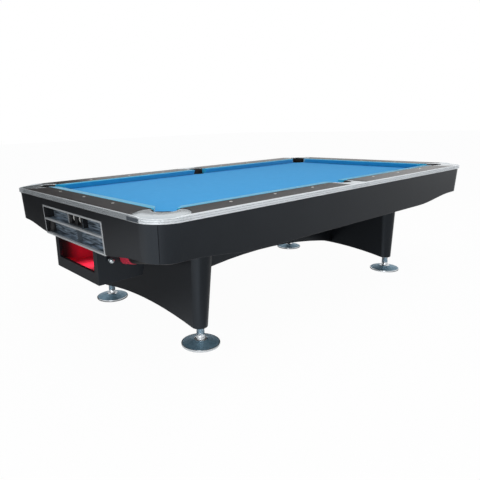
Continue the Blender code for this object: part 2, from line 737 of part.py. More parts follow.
def rise(share):
    """Height of the aprons' lower edge, 0 along the middle and 1 at the corner."""
    return APRON_MID + (APRON_CORNER - APRON_MID) * (1 - math.cos(math.pi * share)) / 2


def apron_half(half_long, rise_start, rise_end):
    """Stations of half an apron, from its mitre in the corner to the middle of its side.

    A station gives its place along the side, its turn round the corner and the height of the lower edge.
    """
    tangent = half_long - CORNER_RADIUS
    inner_radius = CORNER_RADIUS - apron_face(APRON_CORNER) - APRON_THICKNESS
    mitre = math.pi / 4 - FIT / (2 * inner_radius)
    stations = []
    for i in range(CORNER_STEPS + 1):
        turn = mitre * (1 - i / CORNER_STEPS)
        stations.append((tangent, turn, APRON_CORNER))
    for i in range(RISE_STEPS + 1):
        share = i / RISE_STEPS
        stations.append((half_long - rise_end - (rise_start - rise_end) * share, 0, rise(1 - share)))
    return stations


def apron_ring(station, half_wide, flip):
    """Section of an apron at a station as (along, outward, z), flip mirroring it to the other half."""
    along, turn, low = station
    ring = []
    for z, depth in ((APRON_TOP, 0), (low, 0), (low, APRON_THICKNESS), (APRON_TOP, APRON_THICKNESS)):
        radius = CORNER_RADIUS - apron_face(z) - depth
        outward = half_wide - CORNER_RADIUS + radius * math.cos(turn)
        ring.append((flip * (along + radius * math.sin(turn)), outward, z))
    return ring


def apron_mesh(half_long, half_wide, rise_start, rise_end, place):
    """An apron lofted from mitre to mitre, its ends turned round half of each corner."""
    half = apron_half(half_long, rise_start, rise_end)
    rings = [apron_ring(station, half_wide, 1) for station in half]
    rings += [apron_ring(station, half_wide, -1) for station in half[::-1]]
    return skinned([[place(*point) for point in ring] for ring in rings], [(0, 3), (1, 2)])


def make_aprons():
    for side, sy in SIDES.items():
        def wall(along, outward, z, sy=sy):
            return Vector((along, sy * outward, z))

        solid = apron_mesh(HALF_LENGTH, HALF_WIDTH, LONG_RISE_START, LONG_RISE_END, wall)
        new_object(f"{side}_apron", solid, BLACK_LAMINATE)
    for end, sx in ENDS.items():
        def wall(along, outward, z, sx=sx):
            return Vector((sx * outward, along, z))

        solid = apron_mesh(HALF_WIDTH, HALF_LENGTH, SHORT_RISE_START, SHORT_RISE_END, wall)
        apron = new_object(f"{end}_apron", solid, BLACK_LAMINATE)
        if end == "foot":
            bay = BEZEL_WIDTH / 2 + FIT
            behind = -HALF_LENGTH + apron_face(APRON_MID) + 2 * APRON_THICKNESS
            notch = box((-HALF_LENGTH, -bay, BEZEL_BOTTOM - APRON_THICKNESS), (behind, bay, BEZEL_TOP + FIT))
            cut(apron, "score_bay", notch)


# Score bay: bezel, trays and counter
def bay_wall(y, z, depth):
    """A place in the score bay, depth counted inwards from the bezel's outer face."""
    return Vector((-HALF_LENGTH + apron_face(z) - BEZEL_PROUD + depth, y, z))


def bay_box(low, high):
    """A box in the score bay between two (y, z, depth) corners, leaning with the apron."""
    mesh = box(low, high)
    for vert in mesh.vertices:
        vert.co = bay_wall(*vert.co)
    bm = bmesh.new()
    bm.from_mesh(mesh)
    return mesh_of(bm)


def rectangle(half, low, high):
    return [(-half, low), (half, low), (half, high), (-half, high)]


def make_bezel():
    half = BEZEL_WIDTH / 2
    inner = half - BEZEL_BAR
    loops = [
        rectangle(half, BEZEL_BOTTOM, BEZEL_TOP),
        rectangle(inner, BEZEL_BOTTOM + BEZEL_BAR, BEZEL_DIVIDER - BEZEL_BAR / 2),
        rectangle(inner, BEZEL_DIVIDER + BEZEL_BAR / 2, BEZEL_TOP - BEZEL_BAR),
    ]
    new_object("score_bezel", flat_solid(loops, 0, BEZEL_THICKNESS, bay_wall), SATIN_ALUMINIUM)


TRAY_FRONT = BEZEL_THICKNESS + FIT
TRAY_LOW = BEZEL_BOTTOM + TRAY_EDGE
TRAY_HIGH = BEZEL_TOP - TRAY_EDGE
SHELF_LOW = BEZEL_DIVIDER - TRAY_WALL / 2
SHELF_HIGH = BEZEL_DIVIDER + TRAY_WALL / 2


def make_tray():
    half = BEZEL_WIDTH / 2 - TRAY_MARGIN
    back = TRAY_FRONT + TRAY_DEPTH
    before = TRAY_FRONT - TRAY_WALL
    inner = half - TRAY_WALL
    floor = back - TRAY_WALL
    bay_floor = TRAY_FRONT + BAY_DEPTH
    shell = bay_floor + TRAY_WALL
    past = back + TRAY_WALL
    bay = COUNTER_BAY / 2
    ceiling = TRAY_HIGH - TRAY_WALL
    block = bay_box((-half, TRAY_LOW, TRAY_FRONT), (half, TRAY_HIGH, back))
    tray = new_object("score_tray", block, SATIN_ALUMINIUM)
    fin = TRAY_WALL / 2
    fin_front = TRAY_FRONT + FIN_RECESS
    rooms = {
        "upper_far": ((bay + TRAY_WALL, SHELF_HIGH, before), (inner, ceiling, bay_floor)),
        "counter_bay": ((-bay, SHELF_HIGH, before), (bay, ceiling, floor)),
        "upper_near": ((-inner, SHELF_HIGH, before), (-bay - TRAY_WALL, ceiling, bay_floor)),
        "lower_far": ((fin, TRAY_LOW + TRAY_WALL, before), (inner, SHELF_LOW, bay_floor)),
        "lower_near": ((-inner, TRAY_LOW + TRAY_WALL, before), (-fin, SHELF_LOW, bay_floor)),
        "fin_recess": ((-TRAY_WALL, TRAY_LOW + TRAY_WALL, before), (TRAY_WALL, SHELF_LOW, fin_front)),
    }
    recess = TRAY_FRONT + PARTITION_RECESS
    for side, sy in SIDES.items():
        ends = sorted((sy * (bay - TRAY_WALL), sy * (bay + 2 * TRAY_WALL)))
        rooms[f"{side}_partition"] = ((ends[0], SHELF_HIGH, before), (ends[1], ceiling, recess))
    for name, (low, high) in rooms.items():
        cut(tray, name, bay_box(low, high))
    # Behind the shallow bays only the sleeve round the counter goes on to the back
    below = TRAY_LOW - TRAY_WALL
    above = TRAY_HIGH + TRAY_WALL
    beside = half + TRAY_WALL
    sleeve = bay + TRAY_WALL
    around = [
        (-beside, below),
        (beside, below),
        (beside, above),
        (sleeve, above),
        (sleeve, SHELF_LOW),
        (-sleeve, SHELF_LOW),
        (-sleeve, above),
        (-beside, above),
    ]
    cut(tray, "behind_bays", flat_solid([around], shell, past, bay_wall))


def make_counter():
    z = (SHELF_HIGH + TRAY_HIGH - TRAY_WALL) / 2
    x = bay_wall(0, z, DRUM_RECESS + DRUM_RADIUS).x
    half = COUNTER_BAY / 2 - FIT
    front = TRAY_FRONT + PARTITION_RECESS + HOUSING_RECESS
    low = (-half, SHELF_HIGH + FIT, front)
    high = (half, TRAY_HIGH - TRAY_WALL - FIT, front + HOUSING_DEPTH)
    housing = new_object("counter_housing", bay_box(low, high), BLACK_PLASTIC)
    slot = DRUM_WIDTH / 2 + DRUM_GAP
    room = DRUM_RADIUS + DRUM_GAP
    axle_half = DRUM_SPACING / 2 + slot + (half - DRUM_SPACING / 2 - slot) / 2
    across = (math.pi / 2, 0, 0)
    for side, sy in SIDES.items():
        y = sy * DRUM_SPACING / 2
        behind = front + HOUSING_DEPTH - HOUSING_BACK
        window = bay_box((y - slot, z - room, front - HOUSING_RECESS), (y + slot, z + room, behind))
        cut(housing, f"{side}_window", window)
        bore = AXLE_RADIUS + FIT
        rim = DRUM_RADIUS - DRUM_CHAMFER
        width = DRUM_WIDTH / 2
        profile = [
            (rim, width),
            (DRUM_RADIUS, width - DRUM_CHAMFER),
            (DRUM_RADIUS, -width + DRUM_CHAMFER),
            (rim, -width),
            (bore, -width),
            (bore, width),
        ]
        turned(f"{side}_drum", profile, WHITE_PLASTIC, SMALL_STEPS * 2, (x, y, z), across, closed=True)
    hole = rod(AXLE_RADIUS + FIT, 2 * (axle_half + FIT), SMALL_STEPS * 2)
    cut(housing, "axle_hole", hole, (x, 0, z), across)
    axle = new_object("drum_axle", rod(AXLE_RADIUS, 2 * axle_half, SMALL_STEPS * 2), CHROMED_STEEL)
    axle.location = (x, 0, z)
    axle.rotation_euler = across


# Ball box and ball return
def make_ball_box():
    back = BOX_FRONT + BOX_DEPTH
    hanger = back - BOX_HANGER
    half = BOX_WIDTH / 2
    outline = [
        (BOX_FRONT, BOX_BOTTOM),
        (back - BOX_HEEL, BOX_BOTTOM),
        (back, BOX_BOTTOM + BOX_HEEL_RISE),
        (back, BASE_TOP),
        (hanger, BASE_TOP),
        (hanger, BOX_TOP),
        (BOX_FRONT, BOX_TOP),
    ]
    solid = flat_solid([outline], -half, half, lambda x, z, y: Vector((x, y, z)))
    ball_box = new_object("ball_box", solid, BLACK_LAMINATE)
    inner = half - BOX_WALL
    above = BASE_TOP + BOX_WALL
    low = Vector((BOX_FRONT + BOX_WALL, -inner, BOX_BOTTOM + BOX_WALL))
    high = Vector((back - BOX_BACK_WALL, inner, above))
    cut(ball_box, "inside", box(low, high))
    opening = half - BOX_STILE
    mouth = box((BOX_FRONT - BOX_WALL, -opening, BOX_BOTTOM + BOX_SILL), (low.x + BOX_WALL, opening, above))
    cut(ball_box, "mouth", mouth)
    across = (math.pi / 2, 0, 0)
    bore = GUTTER_HALF - GUTTER_WALL
    cut(ball_box, "inlets", rod(bore, BOX_WIDTH + BOX_WALL, ROUND_STEPS), (INLET_X, 0, INLET_Z), across)
    skin = Vector((FIT, FIT, FIT))
    top = Vector((high.x - FIT, inner - FIT, BOX_TOP - FIT))
    lining = new_object("ball_box_lining", box(low + skin, top), RED_LINING)
    wall = Vector((LINING, LINING, LINING))
    hollow = box(low + skin + wall - Vector((BOX_WALL, 0, 0)), top - wall + Vector((0, 0, BOX_WALL)))
    cut(lining, "hollow", hollow)
    cut(lining, "inlets", rod(bore, BOX_WIDTH, ROUND_STEPS), (INLET_X, 0, INLET_Z), across)


def gutter_paths():
    """Centre lines of the far side's three gutters with their headings, from the head pocket down."""
    def straight(x):
        return ((x, GUTTER_Y, gutter_height(x)), 180.0)

    bend = []
    for i in range(BEND_STEPS + 1):
        share = i / BEND_STEPS
        turn = math.radians(90 + 90 * share)
        x = GUTTER_BEND_X + GUTTER_BEND * math.cos(turn)
        y = GUTTER_Y - GUTTER_BEND + GUTTER_BEND * math.sin(turn)
        bend.append(((x, y, GUTTER_BEND_Z - GUTTER_BEND_FALL * share), 180 + 90 * share))
    return {
        "head": [straight(GUTTER_HEAD_X), straight(-GUTTER_JOINT)],
        "foot": [straight(-GUTTER_JOINT - FIT), straight(GUTTER_BEND_X + FIT)],
        "end": bend + [((INLET_X, BOX_WIDTH / 2 + FIT, INLET_Z), 270.0)],
    }


def make_gutters():
    bore = GUTTER_HALF - GUTTER_WALL
    floor = GUTTER_WALL - GUTTER_DEPTH
    outer = [(-GUTTER_HALF, GUTTER_SIDE), (-GUTTER_HALF, -GUTTER_DEPTH)]
    outer += mirrored(outer[::-1], -1, 1)
    inner = [(-bore, GUTTER_SIDE), (-bore, floor), (bore, floor), (bore, GUTTER_SIDE)]
    section = outer + inner[::-1]
    pairs = [(i, len(section) - 1 - i) for i in range(len(outer))]
    for side, sy in SIDES.items():
        for run, path in gutter_paths().items():
            rings = []
            for (x, y, z), heading in path:
                turn = math.radians(heading + 90)
                ring = []
                for a, b in section:
                    ring.append(Vector((x + a * math.cos(turn), sy * (y + a * math.sin(turn)), z + b)))
                rings.append(ring)
            new_object(f"{side}_{run}_gutter", skinned(rings, pairs), BLACK_PLASTIC)


make_pedestals()
make_stretcher()
make_levelling_feet()
make_frame()
make_bed()
make_rails()
make_cushions()
make_corner_castings()
make_side_castings()
make_liners()
make_trims()
make_aprons()
make_bezel()
make_tray()
make_counter()
make_ball_box()
make_gutters()
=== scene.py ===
"""Looks of the billiard table: cloth, castings, trim, feet, score counter, finishes, light and camera.

Metres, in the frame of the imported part: +Z up, the origin under the middle of the table and level with the
soles of its feet at rest, the foot end with the score bay towards -X and the near side towards -Y.
"""

import math

import bmesh
import bpy
import numpy as np
from mathutils import Matrix, Vector


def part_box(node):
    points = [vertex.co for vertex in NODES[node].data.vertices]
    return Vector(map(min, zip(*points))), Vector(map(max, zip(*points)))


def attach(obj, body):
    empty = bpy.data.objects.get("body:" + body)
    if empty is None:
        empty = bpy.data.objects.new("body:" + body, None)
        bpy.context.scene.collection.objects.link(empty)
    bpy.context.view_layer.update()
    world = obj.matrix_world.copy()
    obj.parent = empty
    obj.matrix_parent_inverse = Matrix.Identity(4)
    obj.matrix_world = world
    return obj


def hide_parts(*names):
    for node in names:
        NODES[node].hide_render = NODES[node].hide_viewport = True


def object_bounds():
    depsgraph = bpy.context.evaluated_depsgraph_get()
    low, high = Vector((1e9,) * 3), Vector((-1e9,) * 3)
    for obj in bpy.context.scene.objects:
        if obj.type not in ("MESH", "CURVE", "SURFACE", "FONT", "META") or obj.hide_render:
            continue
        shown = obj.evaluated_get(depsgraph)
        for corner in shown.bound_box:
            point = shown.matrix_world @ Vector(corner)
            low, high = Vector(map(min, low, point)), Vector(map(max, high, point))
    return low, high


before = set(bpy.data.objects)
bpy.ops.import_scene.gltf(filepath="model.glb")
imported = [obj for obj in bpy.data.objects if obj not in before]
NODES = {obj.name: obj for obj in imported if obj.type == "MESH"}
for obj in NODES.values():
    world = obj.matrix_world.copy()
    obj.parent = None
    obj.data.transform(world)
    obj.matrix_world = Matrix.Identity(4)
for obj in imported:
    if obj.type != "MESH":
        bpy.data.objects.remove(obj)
CAD_BOX = [list(corner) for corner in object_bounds()]
BODY = "table"
X, Y, Z = range(3)

CORNERS = {"near_foot": (-1, -1), "near_head": (1, -1), "far_foot": (-1, 1), "far_head": (1, 1)}
SIDES = {"near": -1, "far": 1}
ENDS = {"foot": -1, "head": 1}


# Sizes read from the frame
def micron(length):
    """A length to the micrometre, clear of the frame's own rounding."""
    return round(length, 6)


def low_side(node, axis):
    return micron(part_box(node)[0][axis])


def high_side(node, axis):
    return micron(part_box(node)[1][axis])


def middle(node, axis):
    return micron((low_side(node, axis) + high_side(node, axis)) / 2)


HALF_LENGTH, HALF_WIDTH, RAIL_TOP = (micron(side) for side in CAD_BOX[1])
BED_TOP = high_side("bed_cloth", Z)
SLATE_TOP = high_side("middle_slate", Z)
TRIM_BOTTOM = low_side("foot_trim", Z)
TRIM_THICKNESS = micron(high_side("foot_trim", X) + HALF_LENGTH)
RAIL_OUTER = micron(HALF_WIDTH - high_side("far_foot_rail", Y))
RAIL_INNER = micron(HALF_WIDTH - low_side("far_foot_rail", Y))
CUSHION_BACK = micron(HALF_WIDTH - high_side("far_foot_cushion", Y))
RAIL_WIDTH = micron(HALF_WIDTH - low_side("far_foot_cushion", Y))
FIELD_LENGTH = micron(2 * (HALF_LENGTH - RAIL_WIDTH))
FIELD_WIDTH = micron(2 * (HALF_WIDTH - RAIL_WIDTH))
SIDE_CASTING = high_side("far_side_casting", X)
FOOT_X, FOOT_Y = (middle("far_head_levelling_foot", axis) for axis in (X, Y))
DRUM_X, DRUM_Y, DRUM_Z = (middle("far_drum", axis) for axis in (X, Y, Z))
DRUM_RADIUS = micron(high_side("far_drum", X) - DRUM_X)
DRUM_WIDTH = micron(high_side("far_drum", Y) - low_side("far_drum", Y))

# Sizes repeated from the part
TRIM_GROOVES = (0.009, 0.020)
CORNER_RADIUS = 0.142
CORNER_POCKET = 0.178
CORNER_HOLE = 0.056
SIDE_POCKET = 0.140
SIDE_HOLE = 0.0546
TONGUE_REACH = 0.195
TONGUE_SWELL = 0.067
TONGUE_SHOULDER = 0.030
TONGUE_TIP = 0.029
TONGUE_TIP_DEG = 60.0
SIDE_NOSE = 0.065
CORNER_NOSE = 0.2927
CORNER_SLOPE = 1.28
SIDE_SLOPE = 0.249
FIT = 0.0003
LINER_WALL = 0.004
LINER_LAP = 0.0102
LINER_SLEEVE = 0.060
SPOUT_RADIUS = 0.044
GUTTER_SIDE = 0.030
GUTTER_WALL = 0.003

# The ball gutters' line: the head end, the start of the bend at the foot, and the inlet of the ball box
GUTTER_Y = middle("far_head_gutter", Y)
GUTTER_HALF = micron(high_side("far_head_gutter", Y) - GUTTER_Y)
HEAD_X = high_side("far_head_gutter", X)
HEAD_Z = micron(high_side("far_head_gutter", Z) - GUTTER_SIDE)
BEND_X = high_side("far_end_gutter", X)
BEND_Z = micron(high_side("far_end_gutter", Z) - GUTTER_SIDE)
INLET = (
    micron(low_side("far_end_gutter", X) + GUTTER_HALF),
    low_side("far_end_gutter", Y),
    micron(low_side("far_end_gutter", Z) + GUTTER_HALF),
)
BEND_RADIUS = micron(BEND_X - INLET[X])


# Node and mesh helpers
def linear(code):
    """An sRGB hex colour as linear RGBA."""
    shares = [int(code[i:i + 2], 16) / 255 for i in (1, 3, 5)]
    return tuple(s / 12.92 if s <= 0.04045 else ((s + 0.055) / 1.055) ** 2.4 for s in shares) + (1.0,)


def add(tree, kind, inputs=None, **settings):
    """Adds a node, sets its properties, then fills its inputs with values or links."""
    node = tree.nodes.new(kind)
    for key, value in settings.items():
        setattr(node, key, value)
    for key, value in (inputs or {}).items():
        if isinstance(value, bpy.types.NodeSocket):
            tree.links.new(value, node.inputs[key])
        else:
            node.inputs[key].default_value = value
    return node


def feed(shader, **outputs):
    """Links outputs to a shader's inputs, whose names have underscores for spaces."""
    for key, output in outputs.items():
        shader.id_data.links.new(output, shader.inputs[key.replace("_", " ")])


def finish(name, code, roughness, metallic=0.0, **sockets):
    """Starts a material and returns it with its tree, its shader and its Object coordinates."""
    material = bpy.data.materials.new(name)
    material.use_nodes = True
    tree = material.node_tree
    shader = tree.nodes["Principled BSDF"]
    shader.inputs["Base Color"].default_value = linear(code)
    shader.inputs["Roughness"].default_value = roughness
    shader.inputs["Metallic"].default_value = metallic
    for key, value in sockets.items():
        shader.inputs[key.replace("_", " ")].default_value = value
    place = add(tree, "ShaderNodeTexCoord").outputs["Object"]
    return material, tree, shader, place


def plain_object(name, data):
    thing = bpy.data.objects.new(name, data)
    bpy.context.scene.collection.objects.link(thing)
    return thing


def settle(thing):
    """Turns an object with modifiers into a plain mesh."""
    graph = bpy.context.evaluated_depsgraph_get()
    mesh = bpy.data.meshes.new_from_object(thing.evaluated_get(graph), depsgraph=graph)
    thing.modifiers.clear()
    old = thing.data
    thing.data = mesh
    bpy.data.meshes.remove(old)
    return thing


def smooth(mesh, sharp_deg):
    mesh.shade_smooth()
    mesh.set_sharp_from_angle(angle=math.radians(sharp_deg))


def mesh_of(name, bm, sharp_deg=35.0):
    """A mesh with merged points and outward faces."""
    bmesh.ops.remove_doubles(bm, verts=bm.verts, dist=1e-6)
    bmesh.ops.recalc_face_normals(bm, faces=bm.faces)
    if bm.calc_volume(signed=True) < 0:
        bmesh.ops.reverse_faces(bm, faces=bm.faces)
    mesh = bpy.data.meshes.new(name)
    bm.to_mesh(mesh)
    bm.free()
    smooth(mesh, sharp_deg)
    return mesh


def dressed(thing, material, slot, body, *nodes):
    """Gives a piece its finish and body, and hides the CAD nodes that it stands for."""
    if not thing.data.materials:
        thing.data.materials.append(material)
    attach(thing, body)
    if nodes:
        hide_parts(*nodes)
    return thing


def refinished(mesh, material, chosen, *values):
    """Gives the faces that a test chooses another finish."""
    index = len(mesh.materials)
    mesh.materials.append(material)
    for face in mesh.polygons:
        if chosen(face, *values):
            face.material_index = index


def merged_copy(node):
    """A CAD node's shape with its points merged and its flat faces whole."""
    bm = bmesh.new()
    bm.from_mesh(NODES[node].data)
    bmesh.ops.remove_doubles(bm, verts=bm.verts, dist=2e-5)
    flat = math.radians(0.4)
    bmesh.ops.dissolve_limit(bm, angle_limit=flat, verts=bm.verts, edges=bm.edges)
    return bm


def eased(thing, width, segments, angle_deg, harden):
    """Rounds an object's edges that are sharper than an angle."""
    ease = thing.modifiers.new("eased_edges", "BEVEL")
    ease.width = width
    ease.segments = segments
    ease.limit_method = "ANGLE"
    ease.angle_limit = math.radians(angle_deg)
    ease.harden_normals = harden
    return settle(thing)


def softened(node, name, width, material, slot, sink=0.0):
    """A node's shape with its edges eased, its top sunk a hair where something is set flush in it."""
    bm = merged_copy(node)
    for vert in bm.verts:
        if sink and vert.co.z > RAIL_TOP - 0.0001:
            vert.co.z -= sink
    thing = eased(plain_object(name, mesh_of(name, bm)), width, 3, 38.0, True)
    return dressed(thing, material, slot, BODY, node)


def swept(name, section, stations, sharp_deg=35.0):
    """A closed section carried through stations, each of which places a section point."""
    bm = bmesh.new()
    rings = [[bm.verts.new(station(*point)) for point in section] for station in stations]
    count = len(section)
    for low, high in zip(rings, rings[1:]):
        for i in range(count):
            j = (i + 1) % count
            bm.faces.new((low[i], low[j], high[j], high[i]))
    bm.faces.new(rings[0][::-1])
    bm.faces.new(rings[-1])
    return mesh_of(name, bm, sharp_deg)


def turned(name, profile, steps, place, sharp_deg):
    """A profile of (radius, height) turned about an axis, place mapping (x, y, height) to the table."""
    bm = bmesh.new()
    rings = []
    for radius, height in profile:
        if radius < 1e-6:
            rings.append([bm.verts.new(place(0.0, 0.0, height))])
            continue
        ring = []
        for i in range(steps):
            turn = 2 * math.pi * i / steps
            ring.append(bm.verts.new(place(radius * math.cos(turn), radius * math.sin(turn), height)))
        rings.append(ring)
    for low, high in zip(rings, rings[1:]):
        for i in range(steps):
            j = (i + 1) % steps
            corners = [low[i % len(low)], low[j % len(low)], high[j % len(high)], high[i % len(high)]]
            corners = list(dict.fromkeys(corners))
            if len(corners) > 2:
                bm.faces.new(corners)
    return mesh_of(name, bm, sharp_deg)


def arc(centre, radius, start_deg, end_deg, steps):
    turns = [math.radians(start_deg + (end_deg - start_deg) * i / steps) for i in range(steps + 1)]
    return [(centre[0] + radius * math.cos(t), centre[1] + radius * math.sin(t)) for t in turns]


def smooth_step(share):
    """A smooth step from 0 to 1."""
    share = np.clip(share, 0, 1)
    return share * share * (3 - 2 * share)


# Finishes. A noise's Scale counts its features in a metre, so that 400 draws them 2.5 mm apart.
# Sockets of a Mix node that mixes colours: the share, the two colours, and the result
SHARE, FROM, TO, MIXED = 0, 6, 7, 2


def patterned(base, noise, stretch=(1, 1, 1), tones=None, span=None, shine=None, relief=None, grit=None):
    """Draws a finish by a noise, which sets its tones, gloss and relief where they are given.

    Tones are mixed evenly, or over a span of the noise. Grit is a finer noise that makes the relief.
    """
    material, tree, shader, place = base
    lie = add(tree, "ShaderNodeMapping", {"Vector": place, "Scale": stretch}).outputs[0]
    figure = add(tree, "ShaderNodeTexNoise", {"Vector": lie, **noise}).outputs["Fac"]
    if span:
        ramp = add(tree, "ShaderNodeValToRGB", {"Fac": figure})
        for stop, position, code in zip(ramp.color_ramp.elements, span, tones):
            stop.position = position
            stop.color = linear(code)
        feed(shader, Base_Color=ramp.outputs["Color"])
    elif tones:
        mix = {SHARE: figure, FROM: linear(tones[0]), TO: linear(tones[1])}
        feed(shader, Base_Color=add(tree, "ShaderNodeMix", mix, data_type="RGBA").outputs[MIXED])
    if shine:
        gloss = add(tree, "ShaderNodeMapRange", {"Value": figure, "To Min": shine[0], "To Max": shine[1]})
        feed(shader, Roughness=gloss.outputs[0])
    if relief:
        height = figure
        if grit:
            height = add(tree, "ShaderNodeTexNoise", {"Vector": place, **grit}).outputs["Fac"]
        skin = add(tree, "ShaderNodeBump", {"Strength": relief[0], "Distance": relief[1], "Height": height})
        feed(shader, Normal=skin.outputs[0])
    return material


# Satin black laminate on board: near black, with a broad soft reflection and a pebbled emboss. The emboss is
# about 0.5 mm in life and is drawn at 2.5 mm so that it shows. Its reflection is tinted pale blue, a painted
# blue cast of the light.
BLACK_LAMINATE = patterned(
    finish("satin_black_laminate", "#101114", 0.33, Specular_IOR_Level=0.62, Specular_Tint=linear("#D6E4F2")),
    {"Scale": 6.0, "Detail": 2.0},
    tones=("#0D0E11", "#131519"),
    shine=(0.28, 0.38),
    relief=(0.10, 0.0004),
    grit={"Scale": 400.0, "Detail": 3.0},
)


# Dark stained rail veneer under clear lacquer: brown-black grain lines along the rail about 4 mm apart, and
# a glossy top coat that whitens at a low angle.
def rail_veneer(name, stretch):
    base = finish(name, "#1C191A", 0.38, Coat_Weight=0.34, Coat_Roughness=0.10, Specular_IOR_Level=0.04)
    grain = {"Scale": 5.0, "Detail": 6.0, "Roughness": 0.62, "Distortion": 0.4}
    return patterned(base, grain, stretch, ("#0F0E0F", "#2A2626"), (0.34, 0.68), relief=(0.12, 0.0003))


LONG_RAIL_VENEER = rail_veneer("lacquered_dark_veneer_long", (1.6, 46.0, 46.0))
END_RAIL_VENEER = rail_veneer("lacquered_dark_veneer_end", (46.0, 1.6, 46.0))


# Worsted wool cloth, woven and shorn without nap: an even bright blue with a soft pale sheen at low angles.
# The threads are 0.5 mm apart in life and are drawn at 1.6 mm, a wave's Scale of 200, so that the weave shows
# close up.
def worsted_cloth(name, light, dark, sheen):
    material, tree, shader, place = finish(
        name, light, 0.85, Sheen_Weight=sheen, Sheen_Roughness=0.42, Specular_IOR_Level=0.12
    )
    shader.inputs["Sheen Tint"].default_value = linear("#CFF0FF")
    spacing = {"Vector": place, "Scale": 200.0, "Distortion": 0.6, "Detail": 1.0}
    warp = add(tree, "ShaderNodeTexWave", spacing, bands_direction="X").outputs["Fac"]
    weft = add(tree, "ShaderNodeTexWave", spacing, bands_direction="Y").outputs["Fac"]
    weave = add(tree, "ShaderNodeMath", {0: warp, 1: weft}, operation="MAXIMUM").outputs[0]
    mottle = add(tree, "ShaderNodeTexNoise", {"Vector": place, "Scale": 22.0, "Detail": 5.0}).outputs["Fac"]
    share = add(tree, "ShaderNodeMath", {0: weave, 1: mottle}, operation="MULTIPLY").outputs[0]
    tones = {SHARE: share, FROM: linear(dark), TO: linear(light)}
    tone = add(tree, "ShaderNodeMix", tones, data_type="RGBA")
    relief = add(tree, "ShaderNodeBump", {"Strength": 0.25, "Distance": 0.0003, "Height": weave})
    feed(shader, Base_Color=tone.outputs[MIXED], Normal=relief.outputs[0])
    return material


BED_CLOTH = worsted_cloth("worsted_blue_bed_cloth", "#46B0EE", "#349ADC", 0.20)
# The cushions' cloth is the bed's cloth made darker and greener, as it looks in shade: painted shade
SHADE_TINTED_CUSHION_CLOTH = worsted_cloth("worsted_blue_cushion_cloth_shade_tinted", "#33B8E0", "#28A0CC", 0.90)

# Cast aluminium, polished and lightly buffed: bright silver with soft reflections and faint swirl marks.
CAST_METAL = patterned(
    finish("buffed_cast_aluminium", "#C2CACF", 0.20, 0.80),
    {"Scale": 38.0, "Detail": 2.0, "Distortion": 1.5},
    shine=(0.16, 0.22),
)


# Drawn and brushed aluminium: long hair lines along the piece, a little lighter and darker by turns. The
# lines are finer than 0.2 mm in life and are drawn about 1 mm apart.
def brushed(name, light, dark, stretch, rough, metallic):
    base = finish(name, light, rough, metallic)
    shine = (rough - 0.08, rough + 0.1)
    hair = {"Scale": 10.0, "Detail": 5.0}
    return patterned(base, hair, stretch, (dark, light), shine=shine, relief=(0.08, 0.0003))


# The long trims take the end trims' aluminium lighter and nearly without metal, so that they render brighter:
# painted light
LIT_LONG_TRIM = brushed("brushed_aluminium_long_trim_painted_light", "#F2F6F9", "#DDE4E9", (0.4, 80.0, 80.0), 0.32, 0.15)
END_TRIM = brushed("brushed_aluminium_end_trim", "#E4E9EC", "#D0D7DC", (80.0, 0.4, 80.0), 0.28, 0.76)
RIM_METAL = brushed("brushed_casting_rim", "#F2F6F9", "#DDE4E9", (8.0, 8.0, 80.0), 0.28, 0.60)
BEZEL_METAL = brushed("satin_aluminium_bezel", "#DDE0E2", "#BFC4C7", (80.0, 0.8, 80.0), 0.30, 0.4)
# Painted shade: a darker grey copy of the brushed aluminium for the floors of the trims' grooves and the
# tray's fin
GROOVE_PAINTED_SHADE = brushed("painted_shade_trim_groove", "#6E767C", "#5A6268", (8.0, 8.0, 80.0), 0.45, 0.3)
DARK_PLATE = brushed("dark_anodised_plate", "#555E66", "#3E464D", (80.0, 0.8, 80.0), 0.42, 0.15)

# Rolled stainless sheet in the score tray: blue-grey with cloudy dark and light streaks along the sheet,
# about 7 mm wide and 90 mm long, partly the sheet's rolling marks and partly painted reflections of the room.
TRAY_METAL = patterned(
    finish("rolled_stainless_tray", "#8CA3B5", 0.34, 0.4),
    {"Scale": 1.0, "Detail": 4.0, "Distortion": 0.35},
    (30.0, 11.0, 140.0),
    ("#232E39", "#B4C6D6"),
    (0.36, 0.66),
)

# Bright chrome on steel: a mirror with a faint blue cast and fine handling marks.
CHROME = patterned(
    finish("bright_chromed_steel", "#DDE2E6", 0.12, 0.75), {"Scale": 120.0, "Detail": 4.0}, shine=(0.05, 0.15)
)


# Cast zinc foot pad, plated and left with a hammered skin: blue grey with dents about 7 mm across.
def hammered_zinc():
    base = finish("hammered_zinc_pad", "#7FA6BC", 0.46, 0.55)
    material, tree, shader, place = base
    dents = add(tree, "ShaderNodeTexVoronoi", {"Vector": place, "Scale": 140.0}).outputs["Distance"]
    hammer = add(tree, "ShaderNodeBump", {"Strength": 0.35, "Distance": 0.0008, "Height": dents})
    feed(shader, Normal=hammer.outputs[0])
    return patterned(base, {"Scale": 60.0, "Detail": 4.0}, tones=("#5A8198", "#9CBFD2"))


PAD_METAL = hammered_zinc()

# Honed slate: matt blue-grey stone with faint cloudy layers about 30 mm wide.
SLATE = patterned(
    finish("honed_slate", "#4A4F54", 0.62), {"Scale": 34.0, "Detail": 6.0}, tones=("#3A3F44", "#5C6268")
)

# Planed softwood frame: pale brown with growth lines about 8 mm apart along the beams.
TIMBER = patterned(
    finish("planed_pine_frame", "#B08A5C", 0.6),
    {"Scale": 10.0, "Detail": 4.0, "Distortion": 0.8},
    (0.5, 12.0, 12.0),
    ("#8A643C", "#C9A678"),
)


# Moulded parts: an even colour with a fine spark-eroded grain about 0.8 mm across.
def moulded(name, code, rough, grain=0.10):
    base = finish(name, code, rough, Specular_IOR_Level=0.4)
    cloud = {"Scale": 30.0, "Detail": 2.0}
    spark = {"Scale": 1250.0, "Detail": 2.0}
    return patterned(base, cloud, shine=(rough - 0.06, rough + 0.08), relief=(grain, 0.0002), grit=spark)


